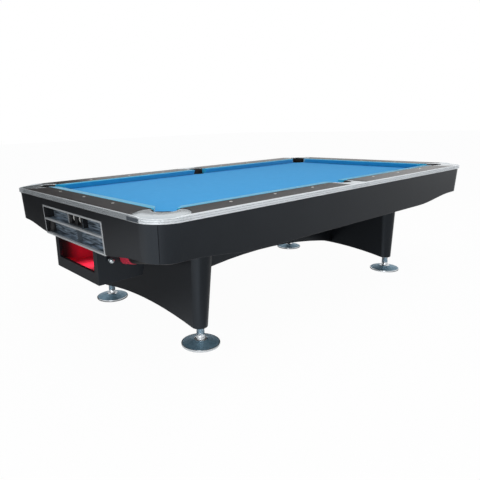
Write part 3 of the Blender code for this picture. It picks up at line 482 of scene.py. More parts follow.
LINER_RUBBER = moulded("moulded_black_rubber", "#0E0E0F", 0.62, 0.2)
BLACK_ABS = moulded("moulded_black_abs", "#121214", 0.40)
WHITE_ABS = moulded("moulded_white_abs", "#EDEDE8", 0.35)
PRINT_INK = moulded("black_print_ink", "#111114", 0.5)
RED_SOCKET = moulded("moulded_red_socket", "#E23A54", 0.36)
PEARL = moulded("cream_pearl_sight", "#F1F0EA", 0.22, 0.03)

# Where the painted shade on the red tray's walls begins and ends, and the heights of its full red floor and
# shaded walls
SHADE_START_X = -1.405
SHADE_END_X = -1.300
LIT_FLOOR_Z = 0.422
SHADED_WALL_Z = 0.445
TRAY_RED = "#EE2441"
TRAY_PAINTED_SHADE = "#14060A"


# Moulded red tray in the ball box: full red on its floor and deeper in, and painted shade, nearly black, on
# the walls over the first 100 mm behind its mouth, where the box's front shades them.
def red_tray():
    material = moulded("moulded_red_tray_painted_shade", TRAY_RED, 0.5)
    tree = material.node_tree
    place = add(tree, "ShaderNodeTexCoord").outputs["Object"]
    part = add(tree, "ShaderNodeSeparateXYZ", {0: place}).outputs
    inward = {"Value": part["X"], "From Min": SHADE_START_X, "From Max": SHADE_END_X}
    deep = add(tree, "ShaderNodeMapRange", inward, interpolation_type="SMOOTHSTEP").outputs[0]
    downward = {"Value": part["Z"], "From Min": SHADED_WALL_Z, "From Max": LIT_FLOOR_Z}
    low = add(tree, "ShaderNodeMapRange", downward).outputs[0]
    # Painted shade: the walls darken towards the mouth and upwards, the floor and the deep end keep the full
    # red
    lit_share = add(tree, "ShaderNodeMath", {0: deep, 1: low}, operation="MAXIMUM").outputs[0]
    tones = {SHARE: lit_share, FROM: linear(TRAY_PAINTED_SHADE), TO: linear(TRAY_RED)}
    tone = add(tree, "ShaderNodeMix", tones, data_type="RGBA")
    feed(tree.nodes["Principled BSDF"], Base_Color=tone.outputs[MIXED])
    return material


RED_TRAY = red_tray()

# Section of the trim as (inward, z): a rounded top edge and two grooves in its face
TRIM_TOE = 0.001
TRIM_ROUND = 0.002
TRIM_ROUND_MID = 0.0006
GROOVE_MOUTH = 0.0014
GROOVE_FLOOR = 0.0004
GROOVE_DEPTH = 0.0013
GROOVE_SHADE = 0.0006
PLATE_BOTTOM = TRIM_BOTTOM + 0.0028


def trim_section():
    section = [(0.0, TRIM_BOTTOM + TRIM_TOE), (0.0, PLATE_BOTTOM)]
    for drop in TRIM_GROOVES[::-1]:
        centre = RAIL_TOP - drop
        section += [(0.0, centre - GROOVE_MOUTH), (GROOVE_DEPTH, centre - GROOVE_FLOOR)]
        section += [(GROOVE_DEPTH, centre + GROOVE_FLOOR), (0.0, centre + GROOVE_MOUTH)]
    section += [(0.0, RAIL_TOP - TRIM_ROUND), (TRIM_ROUND_MID, RAIL_TOP - TRIM_ROUND_MID)]
    section += [(TRIM_ROUND, RAIL_TOP), (TRIM_THICKNESS, RAIL_TOP)]
    return section + [(TRIM_THICKNESS, TRIM_BOTTOM + FIT), (TRIM_TOE, TRIM_BOTTOM + FIT)]


TRIM_SECTION = trim_section()

# Dark plate on the foot trim, from -Y to +Y
PLATE = (-0.725, -0.626)
PLATE_TOP = RAIL_TOP - 0.0085
PLATE_DEPTH = 0.0014

# Castings: the let-down top of a corner's rim, the width round a pocket of the black collar, which is a
# rubber lip and also painted shade for the pocket's throat, the radii of the rolled edges, and the reach and
# depth of the crown's fall to each edge
RIM_LOW = 0.0062
RIM_EDGE = 0.0025
RIM_STEPS = 40
RUBBER_AND_SHADE_COLLAR = 0.0072
SEAM = 0.0004
LIP_ROLL = 0.010
RIM_ROLL = 0.0020
SIDE_ROLL = 0.0016
LIP_FALL = (0.026, 0.0020)
RIM_FALL = (0.070, 0.0072)
SIDE_FALL = (0.045, 0.0030)
CROWN_HOLD = 0.30
CAP_LEAST = 0.004


# Trim and castings
def on_plate(face):
    x, y, z = face.center
    return PLATE[0] < y < PLATE[1] and x < -HALF_LENGTH + PLATE_DEPTH and PLATE_BOTTOM < z < PLATE_TOP


def in_groove(face):
    return any(abs(face.center.z - RAIL_TOP + drop) < GROOVE_SHADE for drop in TRIM_GROOVES)


def by_pocket(face, pocket, radius):
    return (face.center.xy - pocket).length < radius


def trim_mesh(name, stations, metal, with_plate):
    """A stretch of the trim's section with painted shade in its grooves and, where it is asked for, the dark
    plate.
    """
    mesh = swept(name, TRIM_SECTION, stations)
    mesh.materials.append(metal)
    # Painted shade in the grooves
    refinished(mesh, GROOVE_PAINTED_SHADE, in_groove)
    if with_plate:
        refinished(mesh, DARK_PLATE, on_plate)
    return mesh


def long_station(x, sy):
    return lambda inward, z: Vector((x, sy * (HALF_WIDTH - inward), z))


def end_station(y, sx):
    return lambda inward, z: Vector((sx * (HALF_LENGTH - inward), y, z))


def make_trims():
    reach = (SIDE_CASTING + FIT, HALF_LENGTH - TONGUE_REACH - FIT)
    for corner, (sx, sy) in CORNERS.items():
        name = f"{corner}_grooved_trim"
        mesh = trim_mesh(name, [long_station(sx * x, sy) for x in reach], LIT_LONG_TRIM, False)
        dressed(plain_object(name, mesh), LIT_LONG_TRIM, "satin_aluminium", BODY, f"{corner}_trim")
    stop = HALF_WIDTH - TONGUE_REACH - FIT
    for end, sx in ENDS.items():
        name = f"{end}_grooved_trim"
        stations = [end_station(y, sx) for y in (-stop, PLATE[1], stop)]
        mesh = trim_mesh(name, stations, END_TRIM, end == "foot")
        dressed(plain_object(name, mesh), END_TRIM, "satin_aluminium", BODY, f"{end}_trim")


def tongue_edge():
    """The edge of a corner casting beside a rail, from the trim to the pocket's lip."""
    swell_steps, tip_steps = 24, 10
    shoulder = RAIL_INNER - TONGUE_SHOULDER
    points = []
    for i in range(swell_steps + 1):
        share = i / swell_steps
        swell = TONGUE_SWELL * math.sin(math.pi / 2 * share)
        points.append((TONGUE_REACH + swell, RAIL_OUTER + (shoulder - RAIL_OUTER) * share))
    centre = TONGUE_REACH + TONGUE_SWELL - TONGUE_TIP
    for i in range(1, tip_steps + 1):
        turn = math.radians(TONGUE_TIP_DEG * i / tip_steps)
        points.append((centre + TONGUE_TIP * math.cos(turn), shoulder + TONGUE_SHOULDER * math.sin(turn)))
    return points


def spaced(points, shares):
    """Points at given shares of a polyline's length."""
    line = np.array(points)
    steps = np.linalg.norm(np.diff(line, axis=0), axis=1)
    reach = np.concatenate([[0], np.cumsum(steps)]) / steps.sum()
    return np.stack([np.interp(shares, reach, line[:, k]) for k in range(2)], -1)


def crowded(count, power):
    """Shares from 0 to 1 that crowd towards both ends."""
    half = np.linspace(-1, 1, count)
    return 0.5 + 0.5 * np.sign(half) * (1 - (1 - np.abs(half)) ** (1 / power))


def edge_gap(grid, line):
    """The distance of each grid point from a polyline."""
    a = np.array(line[:-1])
    b = np.array(line[1:])
    run = b - a
    length = np.maximum((run ** 2).sum(-1), 1e-12)
    offset = grid[:, :, None, :] - a
    along = np.clip((offset * run).sum(-1) / length, 0, 1)
    return np.sqrt(((offset - along[..., None] * run) ** 2).sum(-1)).min(-1)


def rolled(gap, radius):
    """How far a rounded edge has dropped at a distance from the edge."""
    inside = np.clip(radius - gap, 0, radius)
    return radius - np.sqrt(radius ** 2 - inside ** 2)


def fall(gap, reach, depth):
    """How far a crowned top has dropped at a distance from an edge."""
    return depth * np.clip(1 - gap / reach, 0, 1) ** 2


def crowned_cap(outer, inner, first, last, across, along):
    """A patch between four edges as (grid of places, heights), crowned and rolled over at its edges.

    Towards its two ends the crown's fall to the outer rim fades away.
    """
    s = crowded(along, 0.86)
    t = crowded(across, 0.62)
    top, low = spaced(outer, s), spaced(inner, s)
    left, right = spaced(first, t), spaced(last, t)
    share, depth = s[:, None, None], t[None, :, None]
    grid = (1 - depth) * top[:, None] + depth * low[:, None]
    grid = grid + (1 - share) * left[None] + share * right[None]
    grid = grid - (1 - share) * ((1 - depth) * top[0] + depth * low[0])
    grid = grid - share * ((1 - depth) * top[-1] + depth * low[-1])
    lip = edge_gap(grid, inner)
    rim = edge_gap(grid, outer)
    side = np.minimum(edge_gap(grid, first), edge_gap(grid, last))
    drop = rolled(lip, LIP_ROLL) + rolled(rim, RIM_ROLL) + rolled(side, SIDE_ROLL)
    held = smooth_step(np.minimum(s, 1 - s) / CROWN_HOLD)[:, None]
    drop = drop + held * fall(rim, *RIM_FALL) + fall(side, *SIDE_FALL) + fall(lip, *LIP_FALL)
    heights = np.maximum(RAIL_TOP - drop + drop.min(), TRIM_BOTTOM + CAP_LEAST)
    return grid, heights


def cap_mesh(name, grid, heights, place, pocket, radius):
    """A closed casting under a crowned patch, its faces round the pocket black: a rubber collar that is also
    painted shade for the pocket's throat.
    """
    bm = bmesh.new()
    rows, columns = heights.shape
    floor = TRIM_BOTTOM + SEAM
    top = [[bm.verts.new(place(*grid[i, j], heights[i, j])) for j in range(columns)] for i in range(rows)]
    low = [[bm.verts.new(place(*grid[i, j], floor)) for j in range(columns)] for i in range(rows)]
    for i in range(rows - 1):
        for j in range(columns - 1):
            bm.faces.new((top[i][j], top[i + 1][j], top[i + 1][j + 1], top[i][j + 1]))
            bm.faces.new((low[i][j], low[i][j + 1], low[i + 1][j + 1], low[i + 1][j]))
    ring = [(i, 0) for i in range(rows)] + [(rows - 1, j) for j in range(1, columns)]
    ring += [(i, columns - 1) for i in range(rows - 2, -1, -1)] + [(0, j) for j in range(columns - 2, 0, -1)]
    for (i, j), (k, m) in zip(ring, ring[1:] + ring[:1]):
        bm.faces.new((top[i][j], top[k][m], low[k][m], low[i][j]))
    mesh = mesh_of(name, bm, 50.0)
    mesh.materials.append(CAST_METAL)
    # Black round the pocket: a rubber lip, and also painted shade for the pocket's throat
    refinished(mesh, LINER_RUBBER, by_pocket, place(*pocket, RAIL_TOP).xy, radius + RUBBER_AND_SHADE_COLLAR)
    return mesh


def joined(name, meshes):
    """One mesh out of several, with their materials."""
    bm = bmesh.new()
    materials = []
    for mesh in meshes:
        start = len(bm.faces)
        bm.from_mesh(mesh)
        bm.faces.ensure_lookup_table()
        for face in bm.faces[start:]:
            face.material_index += len(materials)
        materials += list(mesh.materials)
    whole = bpy.data.meshes.new(name)
    bm.to_mesh(whole)
    bm.free()
    for material in materials:
        whole.materials.append(material)
    smooth(whole, 40.0)
    return whole


def corner_place(sx, sy):
    """Maps (in from the end, in from the side, height) at a corner to the table."""
    return lambda u, v, z: Vector((sx * (HALF_LENGTH - u), sy * (HALF_WIDTH - v), z))


def side_place(sy):
    """Maps (along the table, in from the side, height) to the table."""
    return lambda along, inward, z: Vector((along, sy * (HALF_WIDTH - inward), z))


def rim_station(place, u, v, normal, low):
    """A station of the trim's section on a corner's rim, its top let down by a share of the full drop."""

    def station(inward, z):
        top = RIM_LOW * low if z > RAIL_TOP - RIM_EDGE else 0.0
        return place(u + normal[0] * inward, v + normal[1] * inward, z - top)

    return station


def corner_rim(place):
    """The stations of the trim's section round a corner."""
    stations = [rim_station(place, TONGUE_REACH, 0, (0, 1), 0.0)]
    for i in range(RIM_STEPS + 1):
        turn = math.radians(90 * i / RIM_STEPS)
        normal = (math.sin(turn), math.cos(turn))
        u, v = (CORNER_RADIUS - CORNER_RADIUS * share for share in normal)
        low = float(smooth_step(0.2 + min(i, RIM_STEPS - i) / 12))
        stations.append(rim_station(place, u, v, normal, low))
    return stations + [rim_station(place, 0, TONGUE_REACH, (1, 0), 0.0)]


def make_corner_castings():
    inset = TRIM_THICKNESS + SEAM
    pocket = (CORNER_POCKET, CORNER_POCKET)
    rim = [(TONGUE_REACH, inset)]
    rim += arc((CORNER_RADIUS, CORNER_RADIUS), CORNER_RADIUS - inset, 270, 180, 40)
    rim += [(inset, TONGUE_REACH)]
    lip_deg = math.degrees(math.asin((RAIL_INNER - CORNER_POCKET) / CORNER_HOLE))
    hole = arc(pocket, CORNER_HOLE, lip_deg, -270 - lip_deg, 72)
    first = [rim[0]] + tongue_edge() + [hole[0]]
    last = [(v, u) for u, v in first]
    grid, heights = crowned_cap(rim, hole, first, last, 34, 72)
    for corner, (sx, sy) in CORNERS.items():
        place = corner_place(sx, sy)
        rim_mesh = trim_mesh(f"{corner}_casting_rim", corner_rim(place), RIM_METAL, corner == "near_foot")
        cap = cap_mesh(f"{corner}_casting_cap", grid, heights, place, pocket, CORNER_HOLE)
        name = f"{corner}_pocket_casting"
        thing = plain_object(name, joined(name, [rim_mesh, cap]))
        dressed(thing, CAST_METAL, "polished_casting", BODY, f"{corner}_casting")


def make_side_castings():
    inset = TRIM_THICKNESS + SEAM
    half = SIDE_CASTING
    pocket = (0.0, SIDE_POCKET)
    lip_deg = math.degrees(math.asin((RAIL_INNER - SIDE_POCKET) / SIDE_HOLE))
    hole = arc(pocket, SIDE_HOLE, lip_deg, -180 - lip_deg, 60)
    outer = [(half, inset), (-half, inset)]
    inner = [(half, RAIL_INNER)] + hole + [(-half, RAIL_INNER)]
    first = [(half, inset), (half, RAIL_INNER)]
    last = [(-half, inset), (-half, RAIL_INNER)]
    grid, heights = crowned_cap(outer, inner, first, last, 30, 70)
    for side, sy in SIDES.items():
        stations = [long_station(x, sy) for x in (-half, half)]
        rim_mesh = trim_mesh(f"{side}_side_casting_rim", stations, RIM_METAL, False)
        cap = cap_mesh(f"{side}_side_casting_cap", grid, heights, side_place(sy), pocket, SIDE_HOLE)
        name = f"{side}_side_pocket_casting"
        thing = plain_object(name, joined(name, [rim_mesh, cap]))
        dressed(thing, CAST_METAL, "polished_casting", BODY, f"{side}_side_casting")


# Section of a cushion: its back, top and undercut face as (inward, drop below the rail's top), its foot and
# toe as (inward, rise above the bed), and its round nose. By a facing it shrinks, as (set in, share left).
CUSHION_FOOT = (0.0002, 0.0005)
CUSHION_SHOULDER = ((0.0002, 0.0032), (0.0008, 0.0017), (0.0024, 0.0009))
CUSHION_TOP = ((0.165, 0.0006), (0.180, 0.0007), (0.192, 0.0010))
CUSHION_FACE = ((0.1965, 0.0140), (0.1895, 0.0260))
CUSHION_TOE = ((0.1840, 0.0012), (0.1828, 0.0005))
NOSE_ROUND = 0.0030
NOSE_DROP = 0.0043
FACING_EASE = ((0.0, 0.93), (0.0006, 0.975), (0.0022, 1.0))


# Cushions and bed cloth
def cushion_section():
    """A cushion's section as (inward, z), closed, with a round nose, a crowned top and an undercut face."""
    section = [(CUSHION_BACK + CUSHION_FOOT[0], BED_TOP + CUSHION_FOOT[1])]
    section += [(CUSHION_BACK + inward, RAIL_TOP - drop) for inward, drop in CUSHION_SHOULDER]
    section += [(inward, RAIL_TOP - drop) for inward, drop in CUSHION_TOP]
    section += arc((RAIL_WIDTH - NOSE_ROUND, RAIL_TOP - NOSE_DROP), NOSE_ROUND, 82, -40, 10)
    section += [(inward, RAIL_TOP - drop) for inward, drop in CUSHION_FACE]
    section += [(inward, BED_TOP + rise) for inward, rise in CUSHION_TOE]
    return section


def cushion_station(place, core, start, slope, ease, span=None):
    """A station by a facing, its section pulled in towards its core. A span turns it to the other end."""
    set_in, pull = ease

    def station(inward, z):
        t = core[0] + (inward - core[0]) * pull
        h = core[1] + (z - core[1]) * pull
        along = start - slope * (RAIL_WIDTH - t) + set_in
        if span is not None:
            along = span - along
        return place(along, t, h)

    return station


def make_cushion(name, node, place, starts, slopes, span):
    """A cushion from facing to facing. A start is where the nose ends, from its own end of the span."""
    section = cushion_section()
    core = [sum(values) / len(section) for values in zip(*section)]
    stations = [cushion_station(place, core, starts[0], slopes[0], ease) for ease in FACING_EASE]
    for ease in FACING_EASE[::-1]:
        stations.append(cushion_station(place, core, starts[1], slopes[1], ease, span))
    thing = plain_object(name, swept(name, section, stations, 42.0))
    dressed(thing, SHADE_TINTED_CUSHION_CLOTH, "cushion_rubber", BODY, node)


def end_place(sx):
    """Maps (along the end, in from the end, height) to the table."""
    return lambda along, inward, z: Vector((sx * (HALF_LENGTH - inward), HALF_WIDTH - along, z))


def make_cushions():
    starts = (CORNER_NOSE, SIDE_NOSE)
    slopes = (CORNER_SLOPE, SIDE_SLOPE)
    for corner, (sx, sy) in CORNERS.items():
        place = corner_place(sx, sy)
        make_cushion(f"{corner}_cloth_cushion", f"{corner}_cushion", place, starts, slopes, HALF_LENGTH)
    starts = (CORNER_NOSE, CORNER_NOSE)
    slopes = (CORNER_SLOPE, CORNER_SLOPE)
    for end, sx in ENDS.items():
        place = end_place(sx)
        make_cushion(f"{end}_cloth_cushion", f"{end}_cushion", place, starts, slopes, 2 * HALF_WIDTH)


def make_bed_cloth():
    bm = merged_copy("bed_cloth")
    top = [face for face in bm.faces if face.normal.z > 0.5]
    area = sum(face.calc_area() for face in top)
    thing = plain_object("stretched_bed_cloth", mesh_of("stretched_bed_cloth", bm))
    eased(thing, 0.0004, 2, 60.0, False)
    dressed(thing, BED_CLOTH, "blue_cloth", BODY, "bed_cloth")


# Widths of the eased edges, and the bay in the bezel, whose end walls are black
RAIL_EASE = 0.0014
RAIL_SINK = 0.0004
SKIRT_EASE = 0.0025
LEG_EASE = 0.0040
STRETCHER_EASE = 0.0030
BOX_EASE = 0.0015
BEZEL_EASE = 0.0012
BEZEL_INNER = 0.3578
WALL_SLANT = 0.7


# Rails, aprons and base
def make_rail(where, veneer):
    softened(f"{where}_rail", f"{where}_veneered_rail", RAIL_EASE, veneer, "dark_rail_wood", RAIL_SINK)


def make_laminated(node, name, width):
    softened(node, name, width, BLACK_LAMINATE, "black_laminate")


def make_woodwork():
    for corner in CORNERS:
        make_rail(corner, LONG_RAIL_VENEER)
    for end in ENDS:
        make_rail(end, END_RAIL_VENEER)
        make_laminated(f"{end}_apron", f"{end}_skirt", SKIRT_EASE)
        make_laminated(f"{end}_pedestal", f"{end}_leg_panel", LEG_EASE)
    for side in SIDES:
        make_laminated(f"{side}_apron", f"{side}_skirt", SKIRT_EASE)
    make_laminated("stretcher", "arched_stretcher", STRETCHER_EASE)
    make_laminated("ball_box", "ball_return_box", BOX_EASE)


def in_bay(face):
    return abs(face.normal.y) > WALL_SLANT and abs(face.center.y) < BEZEL_INNER


def make_bezel():
    bezel = softened("score_bezel", "score_bay_bezel", BEZEL_EASE, BEZEL_METAL, "satin_aluminium")
    refinished(bezel.data, BLACK_ABS, in_bay)


# A foot as (radius, height): sole and rolled rim, hammered dome, collar, and stem with a groove round it
FOOT_PROFILE = [(0.0, 0.0), (0.104, 0.0), (0.1085, 0.0012), (0.110, 0.0040), (0.110, 0.0095)]
FOOT_PROFILE += [(0.1090, 0.0122), (0.1062, 0.0132), (0.1040, 0.0128), (0.1020, 0.0132)]
FOOT_PROFILE += [(0.094, 0.0156), (0.080, 0.0195), (0.064, 0.0238), (0.050, 0.0280), (0.042, 0.0308)]
FOOT_PROFILE += [(0.0375, 0.0330), (0.0335, 0.0340), (0.0270, 0.0342), (0.0248, 0.0350), (0.0232, 0.0372)]
FOOT_PROFILE += [(0.0225, 0.0400), (0.0225, 0.0560), (0.0216, 0.0568), (0.0216, 0.0580), (0.0225, 0.0588)]
FOOT_PROFILE += [(0.0225, 0.1780), (0.0215, 0.1788), (0.0, 0.1788)]
DOME_INNER = 0.036
DOME_OUTER = 0.1035
SOLE_HEIGHT = 0.005


# Levelling feet
def foot_place(sx, sy):
    """Maps a place on a foot, from the middle of its sole, to the table."""
    return lambda x, y, z: Vector((sx * FOOT_X + x, sy * FOOT_Y + y, z))


def on_dome(face, centre):
    radius = (face.center.xy - centre).length
    return DOME_INNER < radius < DOME_OUTER and face.center.z > SOLE_HEIGHT


def make_feet():
    for corner, (sx, sy) in CORNERS.items():
        name = f"{corner}_foot_and_pad"
        place = foot_place(sx, sy)
        mesh = turned(name, FOOT_PROFILE, 96, place, 50.0)
        mesh.materials.append(CHROME)
        refinished(mesh, PAD_METAL, on_dome, place(0.0, 0.0, 0.0).xy)
        thing = plain_object(name, mesh)
        dressed(thing, CHROME, "chromed_steel", f"{corner}_leveller", f"{corner}_levelling_foot")


# Pocket liners: their faceting, the gap under castings and slate, how far from a pocket's middle they are
# cut down, and how high their spouts stand over the gutters
LINER_STEPS = 60
LINER_LEVELS = 8
LINER_SEAT = 0.0006
LINER_CUT = 0.010
SPOUT_RISE = GUTTER_SIDE + 0.004
BEND_SPOUT_DROP = 0.005


# Pocket liners and ball return gutters
def gutter_height(x):
    share = (HEAD_X - x) / (HEAD_X - BEND_X)
    return HEAD_Z - (HEAD_Z - BEND_Z) * share


def make_liner(name, node, pocket, radius, spout, field):
    """A sleeve from the pocket's rim to its spout, cut down on the side of the playing field."""
    top = TRIM_BOTTOM - LINER_SEAT
    low_top = SLATE_TOP - LINER_SEAT
    walls = [(0.0, top, radius), (0.0, top - LINER_SLEEVE, radius)]
    for i in range(1, LINER_LEVELS + 1):
        share = i / LINER_LEVELS
        bend = 0.5 * float(smooth_step(share)) + 0.5 * share
        z = top - LINER_SLEEVE + (spout[2] - top + LINER_SLEEVE) * share
        walls.append((bend, z, radius + (SPOUT_RADIUS - radius) * bend))
    bm = bmesh.new()
    rings = []
    for wall, levels in ((0.0, walls), (LINER_WALL, walls[::-1])):
        for shift, z, size in levels:
            ring = []
            for i in range(LINER_STEPS):
                turn = 2 * math.pi * i / LINER_STEPS
                dx, dy = math.cos(turn), math.sin(turn)
                towards = (size - wall) * (dx * field[0] + dy * field[1])
                height = low_top if z > low_top and towards > LINER_CUT else z
                x = pocket[0] + (spout[0] - pocket[0]) * shift + (size - wall) * dx
                y = pocket[1] + (spout[1] - pocket[1]) * shift + (size - wall) * dy
                ring.append(bm.verts.new((x, y, height)))
            rings.append(ring)
    for low, high in zip(rings, rings[1:] + rings[:1]):
        for i in range(LINER_STEPS):
            j = (i + 1) % LINER_STEPS
            bm.faces.new((low[i], low[j], high[j], high[i]))
    thing = plain_object(name, mesh_of(name, bm, 45.0))
    dressed(thing, LINER_RUBBER, "liner_rubber", BODY, node)


def make_liners():
    inset = BEND_RADIUS * (1 - math.sqrt(0.5))
    for corner, (sx, sy) in CORNERS.items():
        pocket = (sx * (HALF_LENGTH - CORNER_POCKET), sy * (HALF_WIDTH - CORNER_POCKET))
        spout = (pocket[0], sy * GUTTER_Y, gutter_height(pocket[0]) + SPOUT_RISE)
        if sx < 0:
            spout = (INLET[X] + inset, sy * (GUTTER_Y - inset), BEND_Z - BEND_SPOUT_DROP + SPOUT_RISE)
        field = (-sx * math.sqrt(0.5), -sy * math.sqrt(0.5))
        radius = CORNER_HOLE + LINER_LAP
        make_liner(f"{corner}_pocket_sleeve", f"{corner}_liner", pocket, radius, spout, field)
    for side, sy in SIDES.items():
        pocket = (0.0, sy * (HALF_WIDTH - SIDE_POCKET))
        spout = (0.0, sy * GUTTER_Y, gutter_height(0.0) + SPOUT_RISE)
        radius = SIDE_HOLE + LINER_LAP
        make_liner(f"{side}_side_pocket_sleeve", f"{side}_side_liner", pocket, radius, spout, (0.0, -sy))


GUTTER_LIP = GUTTER_SIDE - 0.001
GUTTER_INSET = 0.0030
BEND_STEPS = 14
BEND_FALL = 0.010
SOCKET_INSET = 0.0004
SOCKET_WALL = 0.004
SOCKET_REACH = 0.085
SOCKET_RISE = 0.0175
SOCKET_END = (INLET[X], INLET[Y] + SOCKET_REACH, INLET[Z] + SOCKET_RISE)


def bowl_section(half):
    """The outline of a half-round bowl with straight sides as (across, up)."""
    return [(-half, GUTTER_LIP)] + arc((0, 0), half, 180, 360, 24) + [(half, GUTTER_LIP)]


def channel_section(half, wall):
    """The section of an open half-round channel."""
    return bowl_section(half) + bowl_section(half - wall)[::-1]


def channel_station(point, heading_deg, sy):
    turn = math.radians(heading_deg + 90)
    x, y, z = point
    return lambda a, b: Vector((x + a * math.cos(turn), sy * (y + a * math.sin(turn)), z + b))


def make_gutters():
    """A channel from the head pocket round the bend, closed at its head, and a red socket at the box."""
    head = (HEAD_X, GUTTER_Y, HEAD_Z)
    path = [(head, 180.0)]
    for i in range(BEND_STEPS + 1):
        share = i / BEND_STEPS
        turn = math.radians(90 + 90 * share)
        x = BEND_X + BEND_RADIUS * math.cos(turn)
        y = GUTTER_Y - BEND_RADIUS + BEND_RADIUS * math.sin(turn)
        path.append(((x, y, BEND_Z - BEND_FALL * share), 180 + 90 * share))
    path.append((SOCKET_END, 270.0))
    run = channel_section(GUTTER_HALF - GUTTER_INSET, GUTTER_WALL)
    stop = bowl_section(GUTTER_HALF - GUTTER_INSET - GUTTER_WALL / 2)
    socket = channel_section(GUTTER_HALF - SOCKET_INSET, SOCKET_WALL)
    for side, sy in SIDES.items():
        name = f"{side}_ball_gutter"
        stations = [channel_station(point, heading, sy) for point, heading in path]
        trough = swept(name, run, stations, 60.0)
        ends = (head, (HEAD_X - GUTTER_WALL, GUTTER_Y, HEAD_Z))
        end_wall = swept(f"{side}_gutter_stop", stop, [channel_station(end, 180.0, sy) for end in ends], 60.0)
        thing = plain_object(name, joined(name, [trough, end_wall]))
        nodes = [f"{side}_{part}_gutter" for part in ("head", "foot", "end")]
        dressed(thing, BLACK_ABS, "black_plastic", BODY, *nodes)
        name = f"{side}_ball_inlet_socket"
        stations = [channel_station(point, 270.0, sy) for point in (SOCKET_END, INLET)]
        thing = plain_object(name, swept(name, socket, stations, 60.0))
        dressed(thing, RED_SOCKET, "red_lining", BODY)


# Half of a score drum as (radius, height from its end): bore, dished web, and rounded edge of its band
DRUM_DISH = 0.0010
DRUM_EDGE = 0.0012
DRUM_HALF = [(0.0056, 0.0), (0.018, 0.0), (0.0185, DRUM_DISH), (0.0245, DRUM_DISH), (0.0250, 0.0)]
DRUM_HALF += [(DRUM_RADIUS - DRUM_EDGE, 0.0), (DRUM_RADIUS, DRUM_EDGE)]
DIGITS = 10
DIGIT_SIZE = 0.017
INK_LIFT = 0.00012


# Score counter
def inside_band(face):
    return math.hypot(face.center.x - DRUM_X, face.center.z - DRUM_Z) < DRUM_RADIUS - DRUM_DISH


def make_drum(side, sy):
    profile = [(radius, height - DRUM_WIDTH / 2) for radius, height in DRUM_HALF]
    profile += [(radius, -height) for radius, height in profile[::-1]]
    name = f"{side}_score_drum"

    def place(x, z, along):
        return Vector((DRUM_X + x, sy * DRUM_Y + along, DRUM_Z + z))

    mesh = turned(name, profile + profile[:1], 80, place, 40.0)
    mesh.materials.append(WHITE_ABS)
    refinished(mesh, BLACK_ABS, inside_band)
    dressed(plain_object(name, mesh), WHITE_ABS, "white_plastic", f"{side}_counter", f"{side}_drum")


def flat_digit(digit):
    """A digit as a flat mesh about its own middle."""
    curve = bpy.data.curves.new("number", "FONT")
    curve.body = str(digit)
    curve.size = DIGIT_SIZE
    curve.align_x = "CENTER"
    curve.align_y = "CENTER"
    curve.resolution_u = 4
    text = plain_object("number", curve)
    bpy.context.view_layer.update()
    flat = bpy.data.meshes.new_from_object(text)
    bpy.data.objects.remove(text)
    return flat


def make_drum_numbers(side, sy):
    """Plain digits printed round a drum's band."""
    numbers = bmesh.new()
    radius = DRUM_RADIUS + INK_LIFT
    for digit in range(DIGITS):
        flat = flat_digit(digit)
        for vert in flat.vertices:
            turn = math.radians(360 / DIGITS * digit) + vert.co.y / DRUM_RADIUS
            x = DRUM_X - radius * math.cos(turn)
            vert.co = (x, sy * DRUM_Y - vert.co.x, DRUM_Z + radius * math.sin(turn))
        numbers.from_mesh(flat)
    name = f"{side}_drum_numbers"
    printed = bpy.data.meshes.new(name)
    numbers.to_mesh(printed)
    numbers.free()
    for face in printed.polygons:
        outward = Vector((face.center.x - DRUM_X, 0, face.center.z - DRUM_Z))
        if face.normal.dot(outward) < 0:
            face.flip()
    dressed(plain_object(name, printed), PRINT_INK, "black_plastic", f"{side}_counter")


def make_counter():
    for side, sy in SIDES.items():
        make_drum(side, sy)
        make_drum_numbers(side, sy)


# Knob on the near side of the ball box: where it sits, and its neck as (radius, height) below a ball
KNOB_X = -1.377
KNOB_Z = 0.5230
KNOB_NECK = [(0.0, 0.0), (0.0085, 0.0), (0.0085, 0.0020)]
KNOB_NECK += [(0.0060, 0.0034), (0.0055, 0.0070), (0.0075, 0.0088)]
BALL_RADIUS = 0.0150
BALL_HEIGHT = 0.0215
BALL_STEPS = 12

# Rail sights: how far behind the cushion's nose they sit, and the size of an inlay
SIGHT_SET = 0.096
SIGHT_RADIUS = 0.0090
SIGHT_HEIGHT = 0.0007
SIGHT_CHAMFER = 0.86
SIGHT_SEAT = RAIL_TOP - 0.0008

# Half widths of the score tray's middle fin and of the bay for the counter
FIN_REACH = 0.010
PARTITION_REACH = 0.110


# Small fittings
def make_box_knob():
    profile = KNOB_NECK.copy()
    for i in range(BALL_STEPS + 1):
        turn = math.radians(-52 + 142 * i / BALL_STEPS)
        profile.append((max(0.0, BALL_RADIUS * math.cos(turn)), BALL_HEIGHT + BALL_RADIUS * math.sin(turn)))
    profile[-1] = (0.0, profile[-1][1])
    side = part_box("ball_box")[0][1]

    def place(x, z, out):
        return Vector((KNOB_X + x, side - out, KNOB_Z + z))

    thing = plain_object("ball_box_knob", turned("ball_box_knob", profile, 40, place, 40.0))
    dressed(thing, CAST_METAL, "polished_casting", BODY)


def sight_points():
    """One point for each sight, at the eighths of the field's length and the quarters of its width."""
    inward = RAIL_WIDTH - SIGHT_SET
    points = []
    for sy in SIDES.values():
        for count in (-3, -2, -1, 1, 2, 3):
            points.append((count * FIELD_LENGTH / 8, sy * (HALF_WIDTH - inward), SIGHT_SEAT))
    for sx in ENDS.values():
        for count in (-1, 0, 1):
            points.append((sx * (HALF_LENGTH - inward), count * FIELD_WIDTH / 4, SIGHT_SEAT))
    return points


